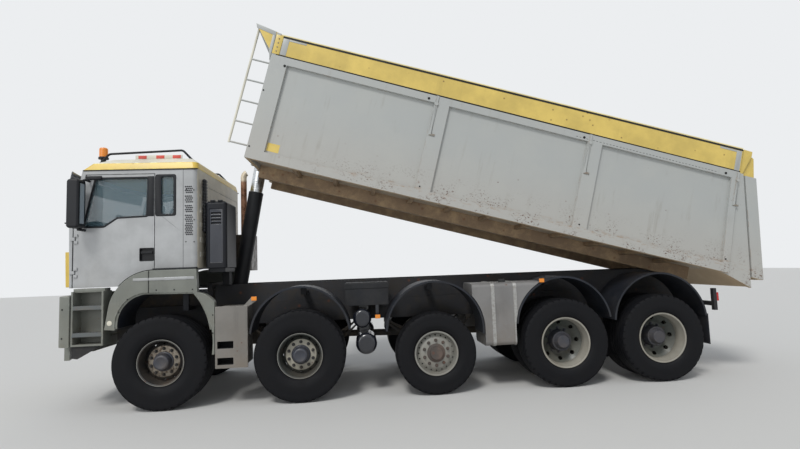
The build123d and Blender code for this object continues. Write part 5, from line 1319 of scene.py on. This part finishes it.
def beacon_rings():
    """Dark collars under the beacons' lenses."""
    for sign in SIDES.values():
        ring = cylinder("beacon_collar", (BEACON.x, BEACON.y * sign, GUTTER + 0.262), 0.062, 0.022, "Z", 40)
        finished(smooth(bevel(ring, 0.006, 2)), "cab", "seal_rubber")


def intake_duct():
    """Corrugated duct behind the cab, joined to the intake box, and the box's clips."""
    low, high, ribs = 2.30, 3.03, 17
    pitch = (high - low) / ribs
    feet = [low + i * pitch for i in range(ribs)]
    rings = [fore_block("ring", (-0.501, 0.868, z), (-0.461, 0.972, z + 0.8 * pitch), 0.008) for z in feet]
    core = fore_block("core", (-0.495, 0.876, low), (-0.467, 0.964, high), 0.004)
    neck = fore_block("neck", (-0.53, 0.88, 2.50), (-0.49, 0.96, 2.62), 0.01)
    finished(joined("intake_duct", rings + [core, neck]), "chassis", "seal_rubber")
    clips = [fore_block("clip", (x - 0.03, 0.93, 2.708), (x + 0.03, 0.99, 2.734), 0.006)
             for x in (-0.60, -0.70)]
    finished(joined("intake_clips", clips), "chassis", "seal_rubber")


def wipers():
    """Three wiper arms with their blades, parked low on the windscreen."""
    pieces = []
    for y in (-0.62, -0.02, 0.58):
        bow = 0.0 if abs(y) < 0.3 else -0.055
        x = AXLE_1 + 1.385 + bow
        pieces.append(cylinder("pivot", (x, y, 2.438), 0.022, 0.05, "X", 20))
        arm = block("arm", (x + 0.004, y - 0.012, 2.43), (x + 0.018, y + 0.30, 2.448), 0.004)
        blade = block("blade", (x - 0.006, y - 0.10, 2.462), (x + 0.006, y + 0.40, 2.480), 0.003)
        pieces += [arm, blade]
    finished(joined("wipers", pieces), "cab", "seal_rubber")


# Seats

PAD_VOXEL = 0.006
PAD_PRESSURE = 4.0
PAD_STEPS = 20
SEAT_IN = 0.56
SEAT_OUT = 1.02
CUSHION_LINE = [(0.000, 2.080), (0.470, 2.092), (0.488, 2.160), (0.000, 2.150)]
BACK_LINE = [(-0.138, 2.165), (0.045, 2.172), (-0.045, 2.632), (-0.122, 2.632)]
HEAD_REST_LINE = [(-0.118, 2.672), (-0.045, 2.672), (-0.064, 2.850), (-0.110, 2.850)]
SIDE_SEAM = 0.13
OFF = 9.0
PAD_CAP = 0.014
SEAM_DEEP = 0.006
SEAM_HALF = 0.005


def swollen(piece):
    """Fills a pad by cloth pressure from its closed form; no point moves further than PAD_CAP."""
    bevel(piece, 0.024, 4, clamp=True)
    modify(piece, "REMESH", mode="VOXEL", voxel_size=PAD_VOXEL)
    start = [vertex.co.copy() for vertex in piece.data.vertices]
    activate(piece)
    filling = piece.modifiers.new("Cloth", "CLOTH")
    filling.settings.use_pressure = True
    filling.settings.uniform_pressure_force = PAD_PRESSURE
    filling.settings.effector_weights.gravity = 0.0
    for step in range(1, PAD_STEPS + 1):
        bpy.context.scene.frame_set(step)
    bpy.ops.object.modifier_apply(modifier=filling.name)
    bpy.context.scene.frame_set(1)
    for vertex, was in zip(piece.data.vertices, start):
        move = vertex.co - was
        if move.length > PAD_CAP:
            vertex.co = was + move.normalized() * PAD_CAP
    return piece


def sewn(piece, lines):
    """Presses sewn channels into a pad; a line is a test that gives the distance to the seam."""
    piece.data.update()
    for vertex in piece.data.vertices:
        for line in lines:
            away_from_seam = line(vertex.co)
            if away_from_seam < 3 * SEAM_HALF:
                vertex.co -= vertex.normal * SEAM_DEEP * math.exp(-(away_from_seam / SEAM_HALF) ** 2)
    piece.data.update()
    return piece


def seat_parts():
    """Pads of the left seat, with sewn channels that OFF keeps to their front faces."""
    middle = (SEAT_IN + SEAT_OUT) / 2
    low, high = SEAT_IN + 0.012, SEAT_OUT - 0.012
    cushion = plate("seat_cushion", at_axle(CUSHION_LINE), low, high)
    back = plate("seat_back", at_axle(BACK_LINE), low, high)
    rest = plate("head_rest", at_axle(HEAD_REST_LINE), SEAT_IN + 0.122, SEAT_OUT - 0.122)

    def beside(co):
        return OFF * (abs(co.y - middle) > SIDE_SEAM)

    def behind(co):
        return OFF * (co.x < AXLE_1 - 0.1)

    sewn(swollen(cushion), [lambda co: abs(abs(co.y - middle) - SIDE_SEAM)]
         + [lambda co, x=x: abs(co.x - AXLE_1 - x) + beside(co) for x in (0.13, 0.27, 0.40)])
    sewn(swollen(back), [lambda co: abs(abs(co.y - middle) - SIDE_SEAM) + behind(co)]
         + [lambda co, z=z: abs(co.z - z) + beside(co) + behind(co) for z in (2.26, 2.36, 2.46, 2.56)])
    swollen(rest)
    return [cushion, back, rest]


def seats():
    for pad in seat_parts():
        smooth(pad, 60.0)
        for piece in both_sides(pad, "cab", "cloth"):
            if piece.name.startswith("seat_cushion"):
                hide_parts("seats")
    foot = fore_block("seat_foot", (0.03, SEAT_IN + 0.07, 1.868), (0.15, SEAT_OUT - 0.07, 2.04), 0.012)
    pan = fore_block("seat_pan", (-0.08, SEAT_IN + 0.02, 2.030), (0.44, SEAT_OUT - 0.02, 2.072), 0.014)
    shell = plate("seat_shell", at_axle([(-0.156, 2.040), (-0.138, 2.040), (-0.126, 2.640), (-0.142, 2.640)]),
                  SEAT_IN + 0.03, SEAT_OUT - 0.03, 0.006)
    posts = [cylinder("post", (AXLE_1 - 0.094, y, 2.655), 0.008, 0.07, "Z", 12) for y in (0.72, 0.86)]
    both_sides(joined("seat_frame", [foot, pan, shell] + posts), "cab", "black_plastic")


# Trim on the chassis

def chassis_trim():
    # The fender's crease is a ridge finished in the lighter cab paint: a painted highlight along the crease.
    ridge = fore_block("fender_ridge_painted_highlight", (-0.440, 1.232, 1.662), (0.330, 1.253, 1.700), 0.008)
    both_sides(ridge, "chassis", "cab_paint")
    sill = fore_block("step_sill", (0.705, 1.030, 1.540), (1.092, 1.185, 1.590), 0.006)
    both_sides(sill, "chassis", "bumper_paint")
    seam = at_axle(rectangle(0.133, 0.137, 1.506, 1.790))
    both_sides(plate("fender_seam", seam, 1.240, 1.2535), "chassis", "seam")
    pad = fore_block("fender_pad", (-0.455, 1.140, 1.789), (0.098, 1.236, 1.820), 0.009)
    both_sides(pad, "chassis", "rubber_mat")
    screws = at_axle([(0.037, 1.538), (-0.187, 1.534), (-0.417, 1.529), (0.396, 1.433), (0.500, 1.269),
                      (-0.672, 1.188), (-0.672, 0.957)])
    both_sides(studs("fender_screws", screws, 1.244, 0.009, 0.004), "chassis", "seam")
    cap = studs("fender_cap", at_axle([(0.612, 1.138)]), 1.244, 0.032, 0.006, 28)
    both_sides(cap, "chassis", "cream")
    dots = studs("bumper_screws", at_axle([(1.190, 1.335), (1.190, 0.972)]), 1.2445, 0.010, 0.003)
    both_sides(dots, "chassis", "seam")
    tread_grips = []
    for z in STEP_TREADS:
        for i in range(9):
            x = 0.748 + i * 0.038
            tread_grips.append(fore_block("grip", (x, 1.06, z + 0.021), (x + 0.014, 1.20, z + 0.027), 0.002))
    both_sides(joined("tread_grips", tread_grips), "chassis", "bright_metal")
    rear_lamp_lenses()


def rear_lamp_lenses():
    """Amber and clear panes over the ends of the rear lamp blocks."""
    panes = (("turn_lens", "amber", 1.152, 1.186), ("reverse_lens", "clear", 1.074, 1.100))
    for name, finish, low, high in panes:
        lens_piece = fore_block(name, (-7.7235, 1.026, low), (-7.716, 1.144, high), 0.002)
        both_sides(lens_piece, "chassis", finish)


# Trim on the load body, laid out level and then turned with it

def along_bed(u0, u1, v0, v1):
    """A rectangle between two places along the body and two heights above its lower edge."""
    return rectangle(-u1, -u0, v0, v1)


def board_top(u):
    return 1.766 + 0.0084 * u


def bed_trim():
    plugs = [(0.215, 1.355), (2.240, 1.410), (4.517, 1.411), (6.670, 1.411)]
    small = [(0.030, 0.160), (2.385, 0.170), (4.681, 0.175), (6.870, 0.186), (0.022, 0.955)]
    for name, places, radius in (("body_plugs", plugs, 0.0175), ("body_screws", small, 0.011)):
        piece = studs(name, [(-u, v) for u, v in places], BODY_SIDE, radius, 0.005)
        bed_sides(piece, "seam")
    patch = along_bed(0.249, 0.416, 0.161, 0.275)
    patch = plate("bare_patch", patch, PANEL_SIDE - 0.001, PANEL_SIDE + 0.0012)
    bed_sides(patch, "board_yellow")
    dashes = [plate("dash", along_bed(u, u + 0.026, 1.3975, 1.4025), BODY_SIDE - 0.001, BODY_SIDE + 0.0008)
              for u in [4.40 + 0.05 * i for i in range(43)]]
    bed_sides(joined("rail_stitches", dashes), "seam")
    joint = plate("board_joint", along_bed(0.062, 6.885, 1.4735, 1.4945), PANEL_SIDE, BOARD_SIDE + 0.0015)
    bed_sides(joint, "seam")
    edge = [(-0.085, board_top(0.085) - 0.028), (-6.885, board_top(6.885) - 0.028),
            (-6.885, board_top(6.885) - 0.002), (-0.085, board_top(0.085) - 0.002)]
    bed_sides(plate("sheet_edge", edge, BOARD_SIDE - 0.004, BOARD_SIDE + 0.004, 0.002), "rubber_mat")
    greys = [along_bed(0.104, 0.190, 1.498, 1.738), along_bed(0.190, 0.430, 1.712, 1.738),
             along_bed(6.790, 6.870, 1.490, 1.790), along_bed(6.530, 6.790, 1.762, 1.790)]
    plates = [plate("grey", outline, BOARD_SIDE - 0.001, BOARD_SIDE + 0.003, 0.0015) for outline in greys]
    bed_sides(joined("board_plates", plates), "body_paint")
    strip = along_bed(0.002, 0.100, 1.490, 1.762)
    strip = plate("board_strip", strip, BOARD_SIDE - 0.001, STRIP_SIDE, 0.002)
    bed_sides(strip, "board_yellow")
    bolts = studs("board_bolts", [(-0.052, 1.53 + 0.06 * i) for i in range(4)], STRIP_SIDE, 0.010, 0.005, 6)
    bed_sides(bolts, "lever_rust")
    bands = [[(0.328, 1.884), (0.030, 1.835), (0.030, 1.775), (0.304, 1.822)],
             [(0.070, 1.560), (0.030, 1.420), (0.030, 1.776), (0.070, 1.782)]]
    plates = [plate("band", outline, CANOPY_SIDE - 0.001, CANOPY_SIDE + 0.004, 0.0015) for outline in bands]
    bed_sides(joined("canopy_bands", plates), "body_paint")


# Stage, light and camera

FLOOR_SIZE = 90.0
FLOOR_COLOUR = (206, 206, 204)
CAMERA_PLACE = Vector((0.8784, 7.8682, 1.733))
CAMERA_YAW = 0.0833
CAMERA_PITCH = 0.0844
CAMERA_ROLL = -0.0368
CAMERA_LENS = 22.06
SENSOR = 36.0


def backdrop():
    bpy.ops.mesh.primitive_plane_add(size=FLOOR_SIZE, location=(0, 0, 0))
    floor = named("floor")
    material = bpy.data.materials.new("floor")
    material.use_nodes = True
    shader = material.node_tree.nodes["Principled BSDF"]
    shader.inputs["Base Color"].default_value = linear(FLOOR_COLOUR)
    shader.inputs["Roughness"].default_value = 0.9
    floor.data.materials.append(material)
    world = bpy.data.worlds.new("studio")
    bpy.context.scene.world = world
    world.use_nodes = True
    nodes = Nodes(world.node_tree)
    light = world.node_tree.nodes["Background"]
    light.inputs["Color"].default_value = linear((236, 240, 246))
    light.inputs["Strength"].default_value = 0.62
    seen = nodes.add("ShaderNodeBackground")
    seen.inputs["Color"].default_value = linear((236, 238, 240))
    seen.inputs["Strength"].default_value = 1.0
    path = nodes.add("ShaderNodeLightPath")
    shows = nodes.math("MAXIMUM", path.outputs["Is Camera Ray"], path.outputs["Is Glossy Ray"])
    shows = nodes.math("MAXIMUM", shows, path.outputs["Is Transmission Ray"])
    mixed = nodes.add("ShaderNodeMixShader")
    nodes.link(shows, mixed.inputs[0])
    nodes.link(light.outputs[0], mixed.inputs[1])
    nodes.link(seen.outputs[0], mixed.inputs[2])
    nodes.link(mixed.outputs[0], world.node_tree.nodes["World Output"].inputs["Surface"])


def lamps_of_the_studio():
    bpy.ops.object.light_add(type="SUN", location=(4, 6, 12))
    sun = bpy.context.object
    sun.data.energy = 1.5
    sun.data.angle = math.radians(14)
    sun.data.color = (1.0, 0.985, 0.96)
    sun.rotation_euler = Vector((-0.35, -0.72, -1.0)).to_track_quat("-Z", "Y").to_euler()
    bpy.ops.object.light_add(type="AREA", location=(10, 12, 6))
    fill = bpy.context.object
    fill.data.energy = 260.0
    fill.data.size = 8.0
    fill.rotation_euler = (Vector((0, 0, 1.5)) - fill.location).to_track_quat("-Z", "Y").to_euler()


def camera():
    sin, cos = math.sin, math.cos
    level = cos(CAMERA_PITCH)
    ahead = Vector((-sin(CAMERA_YAW) * level, -cos(CAMERA_YAW) * level, sin(CAMERA_PITCH)))
    right = Vector((-cos(CAMERA_YAW), sin(CAMERA_YAW), 0))
    up = right.cross(ahead)
    side = cos(CAMERA_ROLL) * right + sin(CAMERA_ROLL) * up
    top = -sin(CAMERA_ROLL) * right + cos(CAMERA_ROLL) * up
    data = bpy.data.cameras.new("camera")
    data.sensor_width = SENSOR
    data.sensor_fit = "HORIZONTAL"
    data.lens = CAMERA_LENS
    data.clip_end = 200.0
    eye = bpy.data.objects.new("camera", data)
    bpy.context.scene.collection.objects.link(eye)
    axes = Matrix((side, top, -ahead)).transposed().to_4x4()
    eye.matrix_world = Matrix.Translation(CAMERA_PLACE) @ axes
    bpy.context.scene.camera = eye


camera()
backdrop()
lamps_of_the_studio()
bpy.context.scene.view_settings.view_transform = "Standard"
wheels()
plain_pieces()
carried_over()
seats()
cab_trim()
intake_duct()
wipers()
chassis_trim()
bed_trim()
